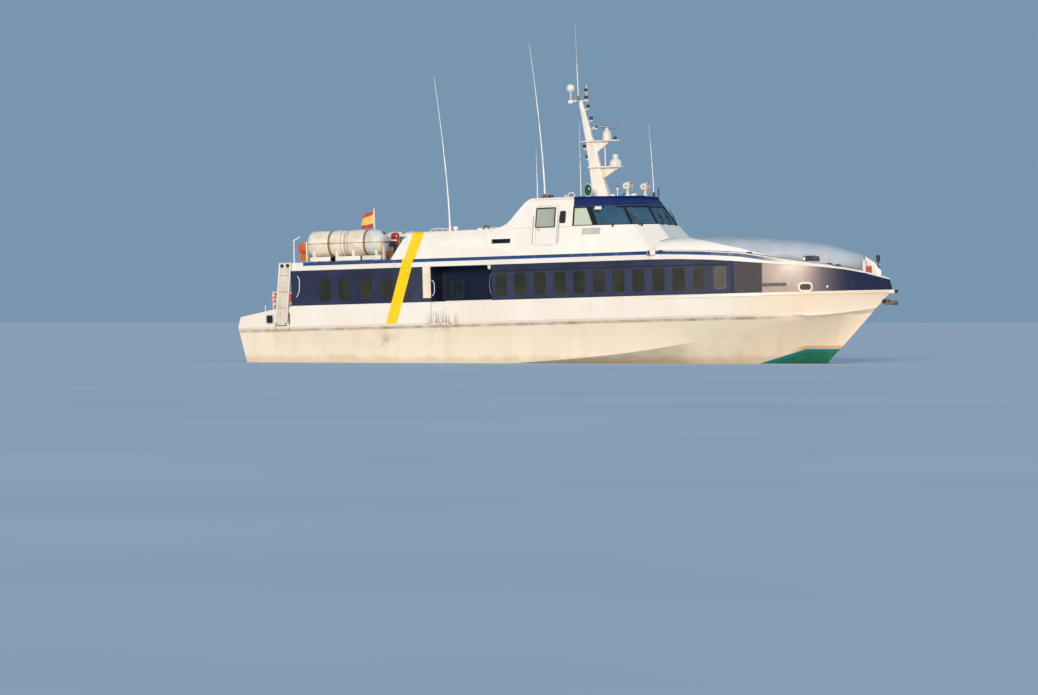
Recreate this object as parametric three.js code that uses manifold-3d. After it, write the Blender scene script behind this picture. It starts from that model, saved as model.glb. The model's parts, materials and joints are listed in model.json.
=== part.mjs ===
// A 30 m fast passenger ferry with one hard-chine hull. Millimetres, +X towards the bow,
// +Y to port, +Z up, with the origin on the centreline, amidships, at the waterline.
import * as THREE from 'three';
import { mergeVertices } from 'three/addons/utils/BufferGeometryUtils.js';
import Module from 'manifold-3d';

const wasm = await Module();
wasm.setup();

// Driving dimensions
const SEAT = 0.3; // between pieces that rest on each other
const CLEAR = 6; // round a piece that moves
const HALF_BEAM = 3200;
const STERN_X = -14650;
const HOUSE_AFT_X = -11970;
const DECK_Z = 1800;
const KNUCKLE_LOW_Z = 1600;
const KNUCKLE_TOP_Z = 1770;
const BELT_LOW_Z = 2540;
const BELT_TOP_Z = 2690;
const BAND_TOP_Z = 4260;
const ROOF_Z = 4650;
const HOUSE_TOP_Z = 5830;
const BRIDGE_ROOF_Z = 7060;
const BRIDGE_TOP_Z = 7140;
const SIDES = [['starboard', -1], ['port', 1]];

// Plain helpers
const rad = THREE.MathUtils.degToRad;
const lerp = THREE.MathUtils.lerp;
const v3 = (x, y, z) => new THREE.Vector3(x, y, z);

// A smooth function through the rows [x, value] of a table, level with the rows past its ends.
function smooth(rows) {
  const slope = rows.map((row, i) => {
    const a = rows[Math.max(i - 1, 0)];
    const b = rows[Math.min(i + 1, rows.length - 1)];
    return (b[1] - a[1]) / (b[0] - a[0]);
  });
  return (x) => {
    if (x <= rows[0][0]) return rows[0][1];
    const i = rows.findIndex((row) => x < row[0]) - 1;
    if (i < 0) return rows[rows.length - 1][1];
    const w = rows[i + 1][0] - rows[i][0];
    const t = (x - rows[i][0]) / w;
    const a = rows[i][1] * (1 + 2 * t) * (1 - t) ** 2 + slope[i] * w * t * (1 - t) ** 2;
    return a + rows[i + 1][1] * t * t * (3 - 2 * t) + slope[i + 1] * w * t * t * (t - 1);
  };
}

// A manifold solid from a closed three.js geometry.
function solid(geometry) {
  const bare = geometry.clone();
  bare.deleteAttribute('normal');
  bare.deleteAttribute('uv');
  const merged = mergeVertices(bare, 1e-3);
  const vertProperties = merged.attributes.position.array;
  const triVerts = new Uint32Array(merged.index.array);
  return new wasm.Manifold(new wasm.Mesh({ numProp: 3, vertProperties, triVerts }));
}

const join = (...solids) => solids.reduce((a, b) => a.add(b));
const cut = (body, ...tools) => tools.reduce((a, b) => a.subtract(b), body);

function box(x, y, z) {
  const [w, d, h] = [x, y, z].map(([a, b]) => b - a);
  const shape = new THREE.BoxGeometry(w, d, h);
  shape.translate((x[0] + x[1]) / 2, (y[0] + y[1]) / 2, (z[0] + z[1]) / 2);
  return solid(shape);
}

// A box given on the starboard side, or its twin to port.
function sideBox(side, x, y, z) {
  return box(x, y.map((v) => side * v).sort((a, b) => a - b), z);
}

const outline = (points) => new THREE.Shape(points.map(([a, b]) => new THREE.Vector2(a, b)));

// A side-view outline [x, z] between two values of y.
function sidePlate(points, y) {
  const shape = new THREE.ExtrudeGeometry(outline(points), { depth: y[1] - y[0], bevelEnabled: false });
  return solid(shape.rotateX(rad(90)).translate(0, y[1], 0));
}

// A plan outline [x, y] between two values of z.
function deckPlate(points, z) {
  const shape = new THREE.ExtrudeGeometry(outline(points), { depth: z[1] - z[0], bevelEnabled: false });
  return solid(shape.translate(0, 0, z[0]));
}

// An end-view outline [y, z] between two values of x.
function framePlate(points, x) {
  const shape = new THREE.ExtrudeGeometry(outline(points), { depth: x[1] - x[0], bevelEnabled: false });
  return solid(shape.rotateX(rad(90)).rotateZ(rad(90)).translate(x[0], 0, 0));
}

// A rod or cone frustum between two points.
function rod(from, to, radius, radiusEnd = radius, sides = 12) {
  const axis = to.clone().sub(from);
  const shape = new THREE.CylinderGeometry(radiusEnd, radius, axis.length(), sides);
  const turn = new THREE.Quaternion().setFromUnitVectors(v3(0, 1, 0), axis.clone().normalize());
  shape.applyQuaternion(turn);
  shape.translate(...from.clone().add(to).multiplyScalar(0.5).toArray());
  return solid(shape);
}

// A round pin, and the bore that it turns in: its flats clear the pin all round.
const PIN_SIDES = 24;
const pinRod = (from, to, radius) => rod(from, to, radius, radius, PIN_SIDES);

function boreRod(from, to, radius) {
  const wall = (radius + SEAT) / Math.cos(Math.PI / PIN_SIDES);
  return rod(from, to, wall, wall, PIN_SIDES);
}

// A turned piece about +Z at a place: rows of [radius, height] that start and end on the axis.
function turned(rows, place = v3(0, 0, 0), sides = 16) {
  const shape = new THREE.LatheGeometry(rows.map(([r, z]) => new THREE.Vector2(r, z)), sides);
  return solid(shape.rotateX(rad(90)).translate(...place.toArray()));
}

// A closed body through rings of as many points each, both ends closed.
function loft(rings) {
  const n = rings[0].length;
  const points = rings.flat();
  const faces = [];
  for (let i = 0; i + 1 < rings.length; i += 1) {
    for (let j = 0; j < n; j += 1) {
      const [a, b] = [i * n + j, i * n + ((j + 1) % n)];
      faces.push(a, b, b + n, a, b + n, a + n);
    }
  }
  for (const [ring, start, flip] of [[rings[0], 0, 1], [rings.at(-1), points.length - n, 0]]) {
    const centre = ring.reduce((sum, p) => sum.add(p), v3(0, 0, 0)).divideScalar(n);
    points.push(centre);
    const c = points.length - 1;
    for (let j = 0; j < n; j += 1) {
      const [a, b] = [start + j, start + ((j + 1) % n)];
      faces.push(...(flip ? [c, b, a] : [c, a, b]));
    }
  }
  const vertProperties = new Float32Array(points.flatMap((p) => p.toArray()));
  const closed = () => {
    const triVerts = new Uint32Array(faces);
    return new wasm.Manifold(new wasm.Mesh({ numProp: 3, vertProperties, triVerts }));
  };
  const made = closed();
  if (made.volume() > 0) return made;
  // The rings ran the other way round: turn every face over.
  for (let i = 0; i < faces.length; i += 3) [faces[i + 1], faces[i + 2]] = [faces[i + 2], faces[i + 1]];
  return closed();
}

const ferry = new THREE.Group();
ferry.name = 'passenger_ferry';

const paint = {
  white: [0xf3ead9, 0.35, 0],
  navy: [0x2c3350, 0.2, 0],
  brow: [0x16306e, 0.25, 0],
  glass: [0x35584f, 0.08, 0],
  dark: [0x20232b, 0.5, 0],
  rubber: [0x1a1a1c, 0.8, 0],
  bronze: [0xa9793a, 0.35, 0.9],
  steel: [0x83868a, 0.4, 0.8],
  fibreglass: [0xe9e1cf, 0.45, 0],
  orange: [0xe8571c, 0.6, 0],
  cloth: [0xc7372c, 0.9, 0],
  plank: [0xc9bfae, 0.6, 0.2],
};

function place(name, body, finish, parent = ferry) {
  const mesh = body.getMesh();
  const shape = new THREE.BufferGeometry();
  shape.setAttribute('position', new THREE.BufferAttribute(mesh.vertProperties, 3));
  shape.setIndex(new THREE.BufferAttribute(mesh.triVerts, 1));
  shape.computeVertexNormals();
  const [color, roughness, metalness] = paint[finish];
  const piece = new THREE.Mesh(shape, new THREE.MeshStandardMaterial({ color, roughness, metalness }));
  piece.name = name;
  parent.add(piece);
  return piece;
}

// Hull lines
const stemX = (z) => 12720 + (z - 200) / 1.05;
const transomX = (z) => STERN_X + 0.23 * Math.abs(KNUCKLE_LOW_Z - z);
const STEM_HALF = 30;

// Half breadth of a plan line that runs straight to where its bow starts, then curves to the stem.
function plan(half, bowStart, bowEnd, power) {
  return (x) => {
    const t = THREE.MathUtils.clamp((x - bowStart) / (bowEnd - bowStart), 0, 1);
    const sternTuck = 110 * THREE.MathUtils.clamp((-9000 - x) / 5600, 0, 1) ** 2;
    return Math.max(half * (1 - t ** power) - sternTuck, STEM_HALF);
  };
}

const keelZ = smooth([
  [-14100, -1050], [-6000, -1180], [3000, -1250], [8000, -1190],
  [10000, -1010], [11300, -740], [12050, -430], [12400, -60], [12720, 200],
]);
const chineZ = smooth([
  [-14300, -280], [-6000, -230], [0, -50], [4000, 240], [6700, 610],
  [8200, 880], [9900, 1180], [12000, 1500], [14158, 1710],
]);
const knuckleRise = smooth([[10600, 0], [12600, 90], [14450, 330]]);
const knuckleDepth = smooth([[8600, 120], [9700, 70], [10800, 0]]);
const BELT_BOW_X = 5500;
const BELT_POWER = 2.2;
const beltHalf = plan(HALF_BEAM, BELT_BOW_X, stemX(BELT_TOP_Z), BELT_POWER);
const beltLowHalf = plan(HALF_BEAM, BELT_BOW_X, stemX(BELT_LOW_Z), BELT_POWER);
const knuckleHalf = plan(HALF_BEAM, 4600, stemX(2100), 2.15);

// Each hull line from the keel up: stern end, stem end, half breadth and height against x.
const hullLines = [
  { from: transomX(-1050), to: 12720, half: () => 60, z: keelZ },
  { from: transomX(-280), to: 14158, half: plan(2990, 1000, 14158, 2.3), z: chineZ },
  {
    from: STERN_X, to: stemX(1930),
    half: (x) => Math.max(knuckleHalf(x) - knuckleDepth(x), STEM_HALF),
    z: (x) => KNUCKLE_LOW_Z + knuckleRise(x),
  },
  { from: STERN_X, to: stemX(2100), half: knuckleHalf, z: (x) => KNUCKLE_TOP_Z + knuckleRise(x) },
  { from: transomX(BELT_LOW_Z), to: stemX(BELT_LOW_Z), half: beltLowHalf, z: () => BELT_LOW_Z },
  { from: transomX(BELT_TOP_Z), to: stemX(BELT_TOP_Z), half: beltHalf, z: () => BELT_TOP_Z - SEAT },
];
const HULL_STATIONS = 26;

function hullRing(t) {
  const starboard = hullLines.map((line) => {
    const x = lerp(line.from, line.to, 1 - (1 - t) ** 1.45);
    return v3(x, -line.half(x), line.z(x));
  }).reverse();
  const port = starboard.map((p) => v3(p.x, -p.y, p.z)).reverse();
  return [...starboard, ...port];
}

function stations(count, ring) {
  return Array.from({ length: count + 1 }, (_, i) => ring(i / count));
}

// Side bays where passengers board, and the stern cockpit
const BAY = { x: [-5200, -2290], depth: 1450, skin: 80 };
const GATE = { x: [-5200, -4480], thick: 60, hinge: 54, heel: 20 };
const COCKPIT_X = [STERN_X + 360, HOUSE_AFT_X - SEAT];
const COCKPIT_HALF = 2960;
const GANGWAY = { x: [-12730, -12130], top: [-12450, -11870], z: [1840, 4640], y: [3265, 3345] };
const GANGWAY_PIN = { y: -(GANGWAY.y[0] + GANGWAY.y[1]) / 2, z: GANGWAY.z[0] + 35 };
// The break in the bulwark behind the gangway
const BREAK_X = [GANGWAY.x[0] + 60, GANGWAY.x[1] - 60];

function bayCut(side, z) {
  return sideBox(side, BAY.x, [HALF_BEAM - BAY.depth, HALF_BEAM - BAY.skin], z);
}

// The doors and gates turn on pins: a pin on the moving piece, in a socket a little wider.
const PIN_RADIUS = 14;
const PIN_REACH = 24;

function pin(x, y, zFrom, zTo) {
  return pinRod(v3(x, y, zFrom), v3(x, y, zTo), PIN_RADIUS);
}

function socket(x, y, zFrom, zTo) {
  return boreRod(v3(x, y, zFrom), v3(x, y, zTo), PIN_RADIUS);
}

const BAY_DOOR = { x: [-4900, -3940], z: [1830, 3830], thick: 45 };
const AFT_DOOR = { y: [-450, 450], z: [1830, 3830], thick: 45 };
const BAY_WALL_Y = HALF_BEAM - BAY.depth;
const AFT_HINGE = { x: HOUSE_AFT_X - AFT_DOOR.thick - PIN_RADIUS, y: AFT_DOOR.y[1] };
const bayHinge = (side) => ({ x: BAY_DOOR.x[1], y: side * (BAY_WALL_Y + BAY_DOOR.thick + PIN_RADIUS) });
const gateAxis = (side) => ({ x: GATE.x[0] + GATE.hinge, y: side * (HALF_BEAM - 10 - GATE.thick / 2) });

// Propellers, shafts and rudders
const SHAFT_Y = 1450;
const PROP = { x: -12350, z: -1260, hub: 95, length: 260, axle: 38 };
const RUDDER = { x: -13350, chord: 560, top: -700, bottom: -1700, stock: 45 };

function hull() {
  let body = loft(stations(HULL_STATIONS, hullRing));
  const wing = [
    [STERN_X - 200, 3000], [STERN_X - 200, 2230], [STERN_X + 160, 2260],
    [-12710, 2580], [HOUSE_AFT_X, BELT_TOP_Z - 40], [HOUSE_AFT_X, 3000],
  ];
  body = cut(body, sidePlate(wing, [-4000, 4000]));
  body = cut(body, box(COCKPIT_X, [-COCKPIT_HALF, COCKPIT_HALF], [DECK_Z, 3000]));
  const behindHouse = [HOUSE_AFT_X - 200, HOUSE_AFT_X - SEAT];
  body = cut(body, box(behindHouse, [-COCKPIT_HALF, COCKPIT_HALF], [DECK_Z, 3000]));
  for (const [, side] of SIDES) {
    body = cut(body, bayCut(side, [DECK_Z, 3000]));
    body = cut(body, sideBox(side, GATE.x, [HALF_BEAM - 200, HALF_BEAM + 100], [DECK_Z, 3000]));
    const axis = gateAxis(side);
    body = cut(body, socket(axis.x, axis.y, DECK_Z - 60, DECK_Z + 1));
    const hinge = bayHinge(side);
    body = cut(body, socket(hinge.x, hinge.y, DECK_Z - 30, DECK_Z + 1));
    const stock = [RUDDER.x, side * SHAFT_Y];
    body = cut(body, boreRod(v3(...stock, -900), v3(...stock, -250), RUDDER.stock));
  }
  body = cut(body, socket(AFT_HINGE.x, AFT_HINGE.y, DECK_Z - 30, DECK_Z + 1));
  // The bulwark is open behind the gangway, and two lugs carry the gangway's foot.
  const [a, b] = GANGWAY.x;
  body = cut(body, box(BREAK_X, [-HALF_BEAM - 200, -COCKPIT_HALF + 60], [DECK_Z, 3000]));
  const { y, z } = GANGWAY_PIN;
  for (const [x0, x1, inward] of [[a - 46, a - CLEAR, 1], [b + CLEAR + 8, b + 60, -1]]) {
    body = join(body, box([x0, x1], [y - 35, -COCKPIT_HALF - 60], [KNUCKLE_TOP_Z - 60, z + 40]));
    const x = inward > 0 ? x1 : x0;
    body = join(body, pinRod(v3(x - inward * 5, y, z), v3(x + inward * 66, y, z), PIN_RADIUS));
  }
  return body;
}
const hullBody = hull();

// The hull is plated up to just under the decks. The topsides, the bulwark round the cockpit and the
// panels outside the bays stand on it.
const SPLIT_Z = DECK_Z - 10;
const above = (z) => box([-16000, 16000], [-4000, 4000], [z, 5000]);

function deckColumns(shrink) {
  const z = [SPLIT_Z - 100, 6000];
  const column = (x, y) => box([x[0] + shrink, x[1] - shrink], [y[0] + shrink, y[1] - shrink], z);
  const cockpit = column([COCKPIT_X[0], COCKPIT_X[1] + SEAT], [-COCKPIT_HALF, COCKPIT_HALF]);
  const gap = column(BREAK_X, [-HALF_BEAM - 200, -COCKPIT_HALF + 60]);
  const bays = SIDES.flatMap(([, side]) => {
    const span = (a, b) => [side * a, side * b].sort((p, q) => p - q);
    const floor = column(BAY.x, span(BAY_WALL_Y, HALF_BEAM - BAY.skin));
    return [floor, column(GATE.x, span(HALF_BEAM - 200, HALF_BEAM + 100))];
  });
  return join(cockpit, gap, ...bays);
}

const upper = cut(hullBody.intersect(above(SPLIT_Z + SEAT)), deckColumns(0));
place('hull', cut(hullBody, cut(above(SPLIT_Z), deckColumns(SEAT))), 'white');
const bayPanel = (side, gap) => sideBox(
  side, [GATE.x[1], BAY.x[1] - gap], [HALF_BEAM - BAY.skin - 1, HALF_BEAM + 100], [SPLIT_Z, 5000]);
const BULWARK_END_X = -12190;
const aftOf = (x) => box([-16000, x], [-4000, 4000], [0, 5000]);
place('topsides', cut(upper, aftOf(BULWARK_END_X), ...SIDES.map(([, side]) => bayPanel(side, 0))), 'white');
place('after_bulwark', upper.intersect(aftOf(BULWARK_END_X - SEAT)), 'white');
for (const [name, side] of SIDES) {
  place(`bay_bulwark_${name}`, upper.intersect(bayPanel(side, SEAT)), 'white');
}

// Rubbing band that runs round the bow at deck height
const RUB = { proud: 45, from: 4600, nose: 90 };

function rubbingBand() {
  const ring = (side) => (t) => {
    const x = lerp(RUB.from, stemX(BELT_LOW_Z) - 20, 1 - (1 - t) ** 1.5);
    const grow = Math.min(1, t * 8);
    const out = RUB.proud * grow + 3;
    const [yLow, yTop] = [beltLowHalf(x) + SEAT * 2, beltHalf(x + 60) + SEAT * 2];
    const rows = [
      [yLow, BELT_LOW_Z], [yLow + out, BELT_LOW_Z + 20],
      [yTop + out, BELT_TOP_Z - 25], [yTop, BELT_TOP_Z - 5],
    ];
    return rows.map(([y, z]) => v3(x, side * y, z));
  };
  const halves = SIDES.map(([, side]) => loft(stations(16, ring(side))));
  const noseX = [stemX(BELT_LOW_Z) - 260, stemX(BELT_TOP_Z) + RUB.nose];
  const body = join(...halves, box(noseX, [-75, 75], [BELT_LOW_Z, BELT_TOP_Z - 5]));
  return cut(body, loft(stations(HULL_STATIONS, hullRing)).translate([SEAT, 0, 0]));
}
place('rubbing_band', rubbingBand(), 'white');

// Main house: the dark window band, from the bulwark up to the roof deck and forward to the stem
const sheerZ = smooth([
  [5600, ROOF_Z - 30], [7400, 4550], [9200, 4400], [10750, 4110],
  [12340, 3850], [13880, 3540], [14960, 3150],
]);
const bandTopZ = smooth([
  [5570, BAND_TOP_Z], [7400, 4200], [9200, 4050], [10740, 3900],
  [12340, 3745], [13500, 3570], [14250, 3370], [14900, 3140],
]);
const HOUSE_BOW_X = 14960;
const HOUSE_HALF = HALF_BEAM - 25;
const ROOF_BOW_X = 5300;
const ROOF_POWER = 2.15;
const houseTopHalf = plan(HOUSE_HALF, ROOF_BOW_X, HOUSE_BOW_X, ROOF_POWER);
const houseLowHalf = plan(HOUSE_HALF, BELT_BOW_X, stemX(BELT_TOP_Z) - 20, BELT_POWER);
const STATIONS = 20;

function houseX(t, end) {
  return lerp(HOUSE_AFT_X, end, 1 - (1 - t) ** 1.45);
}

const WELL = { from: 13880, to: 14780, floor: 3050, side: 90 };

function bowWell() {
  const rows = [];
  for (let i = 0; i <= 6; i += 1) {
    const x = lerp(WELL.from, WELL.to, i / 6);
    rows.push([x, Math.max(houseTopHalf(x) - WELL.side, 40)]);
  }
  const points = [...rows, ...rows.map(([x, y]) => [x, -y]).reverse()];
  return deckPlate(points.reverse(), [WELL.floor, 5000]);
}

function mainHouse() {
  const ring = (t) => {
    const low = houseX(t, stemX(BELT_TOP_Z) - 20);
    const top = houseX(t, HOUSE_BOW_X);
    const rows = [[low, houseLowHalf(low), BELT_TOP_Z], [top, houseTopHalf(top), bandTopZ(top) - SEAT]];
    return [
      v3(rows[1][0], -rows[1][1], rows[1][2]), v3(rows[0][0], -rows[0][1], rows[0][2]),
      v3(rows[0][0], rows[0][1], rows[0][2]), v3(rows[1][0], rows[1][1], rows[1][2]),
    ];
  };
  let body = loft(stations(STATIONS, ring));
  body = cut(body, bowWell());
  for (const [, side] of SIDES) {
    body = cut(body, sideBox(side, BAY.x, [BAY_WALL_Y, HALF_BEAM + 200], [BELT_TOP_Z - 100, 5000]));
    const hinge = bayHinge(side);
    const bracketY = [BAY_WALL_Y - 20, BAY_WALL_Y + BAY_DOOR.thick + 42];
    body = join(body, sideBox(side, [hinge.x - 30, hinge.x + 30], bracketY, bracketZ(BAY_DOOR)));
    body = cut(body, socket(hinge.x, hinge.y, BAY_DOOR.z[1], BAY_DOOR.z[1] + 36));
  }
  const aft = [HOUSE_AFT_X - AFT_DOOR.thick - 42, HOUSE_AFT_X + 20];
  body = join(body, box(aft, [AFT_HINGE.y - 30, AFT_HINGE.y + 30], bracketZ(AFT_DOOR)));
  return cut(body, socket(AFT_HINGE.x, AFT_HINGE.y, AFT_DOOR.z[1], AFT_DOOR.z[1] + 36));
}

const bracketZ = (door) => [door.z[1] + CLEAR, door.z[1] + 60];
place('main_house', mainHouse(), 'navy');

// Roof deck: white cornice with the blue stripe, rafts' cradles on it
const RAFT = { radius: 590, length: 1800, y: 2180, z: ROOF_Z + 800, x: [-10480, -8560] };
const CORNICE_PROUD = 35;
const roofHalfTop = plan(HALF_BEAM + CORNICE_PROUD, ROOF_BOW_X, HOUSE_BOW_X, ROOF_POWER);
const roofHalfLow = plan(HALF_BEAM + CORNICE_PROUD - 20, ROOF_BOW_X, HOUSE_BOW_X, ROOF_POWER);
const CRADLE = { x: [-560, 560], half: 420, thick: 70, below: 330, foot: ROOF_Z - 60 };
const BOAT = { x: [-12650, -8350], half: 830, tube: 210, z: ROOF_Z + 220, tubeZ: ROOF_Z + 750 };
const CHOCK_X = [-11200, -9400];

function roofDeck() {
  const ring = (t) => {
    const x = houseX(t, HOUSE_BOW_X + 20) - 20;
    const [low, top] = [Math.max(roofHalfLow(x), 60), Math.max(roofHalfTop(x), 70)];
    const crown = sheerZ(x) + 40;
    return [
      v3(x, -top, sheerZ(x)), v3(x, -low, bandTopZ(x)), v3(x, low, bandTopZ(x)),
      v3(x, top, sheerZ(x)), v3(x, top * 0.5, crown), v3(x, -top * 0.5, crown),
    ];
  };
  let body = cut(loft(stations(STATIONS, ring)), bowWell());
  const around = (middle, reach) => [middle - reach, middle + reach];
  for (const [, side] of SIDES) {
    const y = around(side * RAFT.y, CRADLE.half);
    for (const x of RAFT.x.flatMap((at) => CRADLE.x.map((dx) => at + dx))) {
      body = join(body, box(around(x, CRADLE.thick), y, [CRADLE.foot, RAFT.z - CRADLE.below]));
    }
  }
  for (const x of CHOCK_X) {
    body = join(body, box(around(x, 60), around(0, CRADLE.half), [CRADLE.foot, BOAT.z + 120]));
  }
  return body;
}

// Rafts
const raftEnds = RAFT.length / 2;
const raftProfile = [
  [0, -raftEnds], [430, -raftEnds + 30], [545, -raftEnds + 150], [RAFT.radius, -raftEnds + 240],
  [RAFT.radius, -70], [RAFT.radius + 20, -70], [RAFT.radius + 20, 70], [RAFT.radius, 70],
  [RAFT.radius, raftEnds - 240], [545, raftEnds - 150], [430, raftEnds - 30], [0, raftEnds],
];

function raft() {
  const profile = raftProfile.map(([r, z]) => new THREE.Vector2(r, z));
  return solid(new THREE.LatheGeometry(profile, 20).rotateZ(rad(-90)));
}

// The rescue boat: a tube hull with rounded bow, on its chocks
function rescueBoat() {
  const { tube, tubeZ } = BOAT;
  const [bow, stern] = BOAT.x;
  const y = BOAT.half - tube;
  const path = [
    v3(stern, -y, tubeZ), v3(bow + 1350, -y, tubeZ), v3(bow + 700, -y * 0.82, tubeZ + 40),
    v3(bow + tube, 0, tubeZ + 110),
    v3(bow + 700, y * 0.82, tubeZ + 40), v3(bow + 1350, y, tubeZ), v3(stern, y, tubeZ),
  ];
  const circle = new THREE.Shape().absarc(0, 0, tube, 0, Math.PI * 2);
  const extrudePath = new THREE.CatmullRomCurve3(path);
  const tubes = solid(new THREE.ExtrudeGeometry(circle, { steps: 26, curveSegments: 5, extrudePath }));
  const bottom = [
    [stern - 60, tubeZ - 30], [stern - 60, BOAT.z + 60], [bow + 1450, BOAT.z],
    [bow + 700, BOAT.z + 60], [bow + 330, tubeZ + 40],
  ];
  const keelPlate = sidePlate(bottom, [-y * 0.78, y * 0.78]);
  return join(tubes, keelPlate);
}

const boatBody = rescueBoat();
const rafts = [];
// The roof deck's cambered top: level to half the breadth, then falling to the sides.
const DECK_TOP_Z = ROOF_Z + 10;
const SUNK_Z = ROOF_Z - 90;
const onDeck = (body) => cut(body, roofDeck().translate([0, 0, SEAT]));
for (const [name, side] of SIDES) {
  const link = rod(v3(RAFT.x[0], side * RAFT.y, RAFT.z), v3(RAFT.x[1], side * RAFT.y, RAFT.z), 30, 30, 8);
  const pair = join(link, ...RAFT.x.map((x) => raft().translate([x, side * RAFT.y, RAFT.z])));
  place(`rafts_${name}`, pair, 'fibreglass');
  rafts.push(pair);
}
const sunk = (body) => body.translate([0, 0, -SEAT * 1.5]);
const BOW_DECK_X = 5500;
const fore = (x) => box([x, 16000], [-4000, 4000], [0, 6000]);
const wholeDeck = cut(roofDeck(), ...rafts.map(sunk), sunk(boatBody));

// At the after end of the roof stands a post with a bent arm, and each side carries a side light.
const afterPost = join(
  rod(v3(-11850, -3000, SUNK_Z), v3(-11850, -3000, 5650), 34, 28, 8),
  rod(v3(-11850, -3000, 5630), v3(-11550, -3000, 5780), 28, 22, 8));
const LIGHT_BOX = { x: [5040, 5370], y: [HALF_BEAM - 20, 3320], z: [4440, 4670] };
const sideLights = SIDES.map(([, side]) => sideBox(side, LIGHT_BOX.x, LIGHT_BOX.y, LIGHT_BOX.z));
place('roof_deck', join(cut(wholeDeck, fore(BOW_DECK_X)), afterPost, ...sideLights), 'white');
place('bow_deck', wholeDeck.intersect(fore(BOW_DECK_X + SEAT)), 'white');
place('rescue_boat', boatBody, 'orange');

// The boat's outboard motor, tilted a little on its transom bracket
function outboard() {
  const cowl = [
    [-8330, 5480], [-8060, 5440], [-7960, 5560], [-7960, 5840], [-8060, 5950], [-8300, 5900],
  ];
  const leg = [[-8250, 5020], [-8175, 4920], [-8080, 5020], [-8100, 5560], [-8220, 5560]];
  const skeg = [[-8200, 5085], [-7990, 5085], [-7990, 5120], [-8200, 5120]];
  const transom = BOAT.x[1] - 60 + SEAT;
  const bracket = box([transom, -8150], [-100, 100], [5230, 5520]);
  return join(sidePlate(cowl, [-160, 160]), sidePlate(leg, [-45, 45]), sidePlate(skeg, [-110, 110]), bracket);
}
place('outboard', outboard(), 'dark');

// Raised house behind the bridge, with its curved after end and the sweep up to the bridge roof
const TUMBLE = 0.26; // how far the sides lean in for each unit of height
const SIDE_FOOT = 3050;
const sideHalf = (z) => SIDE_FOOT - TUMBLE * (z - ROOF_Z);
const BRIDGE_AFT_X = -520;

function sideWedge(x) {
  const [low, top] = [ROOF_Z - 400, 7600];
  const [yLow, yTop] = [sideHalf(low), sideHalf(top)];
  return framePlate([[-yLow, low], [yLow, low], [yTop, top], [-yTop, top]], x);
}

function raisedHouse() {
  const shape = new THREE.Shape();
  const foot = SUNK_Z;
  shape.moveTo(BRIDGE_AFT_X - SEAT, foot);
  shape.lineTo(BRIDGE_AFT_X - SEAT, BRIDGE_TOP_Z);
  shape.quadraticCurveTo(-760, BRIDGE_TOP_Z, -1000, 6860);
  shape.lineTo(-1560, 6190);
  shape.quadraticCurveTo(-1880, 5845, -2450, HOUSE_TOP_Z);
  shape.lineTo(-5900, HOUSE_TOP_Z);
  shape.quadraticCurveTo(-6430, HOUSE_TOP_Z, -6770, 5260);
  shape.lineTo(-7180, foot);
  shape.closePath();
  const profile = new THREE.ExtrudeGeometry(shape, { depth: 6600, bevelEnabled: false, curveSegments: 5 });
  const body = solid(profile.rotateX(rad(90)).translate(0, 3300, 0));
  let house = onDeck(body.intersect(sideWedge([-8000, 0])));
  for (const [, side] of SIDES) {
    const y = [side * (sideHalf(5280) - 60), side * (sideHalf(5280) + 200)].sort((a, b) => a - b);
    house = cut(house, box([-2340, -1500], y, [5200, 5370]));
  }
  return house;
}
place('raised_house', raisedHouse(), 'white');

// Bridge: plan outline at a level, from the after starboard corner round the front to port
const SILL_Z = 5880;
const HEAD_Z = 6640;
// Half outline rows: [x at the sill, y at the sill, shift in x and in y for each unit of height]
const FRONT = [
  [2500, null, -0.42, 0],
  [4000, 2230, -0.6, -0.4],
  [4900, 1370, -0.62, -0.34],
];
const WALL = 60;
const GLASS = 16;

function bridgeOutline(z, inset) {
  const rise = z - SILL_Z;
  const rows = [[BRIDGE_AFT_X + inset, sideHalf(z) - inset]];
  for (const [x, y, dx, dy] of FRONT) {
    const grow = rise < 0 ? 1.35 : 1;
    const at = [x + dx * rise * grow, y === null ? sideHalf(z) : y + dy * rise];
    rows.push(at);
  }
  // The front corners move in along the bisectors of their walls.
  const inner = rows.map(([x, y], i) => {
    if (i === 0 || inset === 0) return [x, y];
    const [px, py] = rows[i - 1];
    const [nx, ny] = i + 1 < rows.length ? rows[i + 1] : [x, -y];
    const d1 = new THREE.Vector2(x - px, i === 1 ? 0 : y - py).normalize();
    const d2 = new THREE.Vector2(nx - x, ny - y).normalize();
    const n1 = new THREE.Vector2(d1.y, -d1.x);
    const n2 = new THREE.Vector2(d2.y, -d2.x);
    const bisector = n1.clone().add(n2).normalize();
    const reach = inset / Math.max(bisector.dot(n1), 0.3);
    return [x + bisector.x * reach, y + bisector.y * reach];
  });
  const starboard = inner.map(([x, y]) => [x, -y]);
  return [...starboard, ...inner.reverse()].map(([x, y]) => v3(x, y, z));
}

function bridgeShell(zLow, zTop, inset) {
  const levels = [zLow, SILL_Z, zTop].filter((z, i, all) => i === 0 || z > all[i - 1]);
  return loft(levels.map((z) => bridgeOutline(z, inset)));
}

const BRIDGE_FLOOR_Z = 4950;
const BRIDGE_DOOR = { x: [-330, 690], z: [5030, 6800], thick: 50, swing: 15 };
// The window in each side wall, whose forward edge leans aft
const PANE_SIDE = { x: [1450, 2330], slant: 330 };

// Corner points of a wall facet between two corners of the plan outline, at two levels.
function facet(i, zLow, zTop, side = -1) {
  const low = bridgeOutline(zLow, 0);
  const top = bridgeOutline(zTop, 0);
  const mirror = (p) => v3(p.x, side < 0 ? p.y : -p.y, p.z);
  return [low[i], low[i + 1], top[i + 1], top[i]].map(mirror);
}

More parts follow.
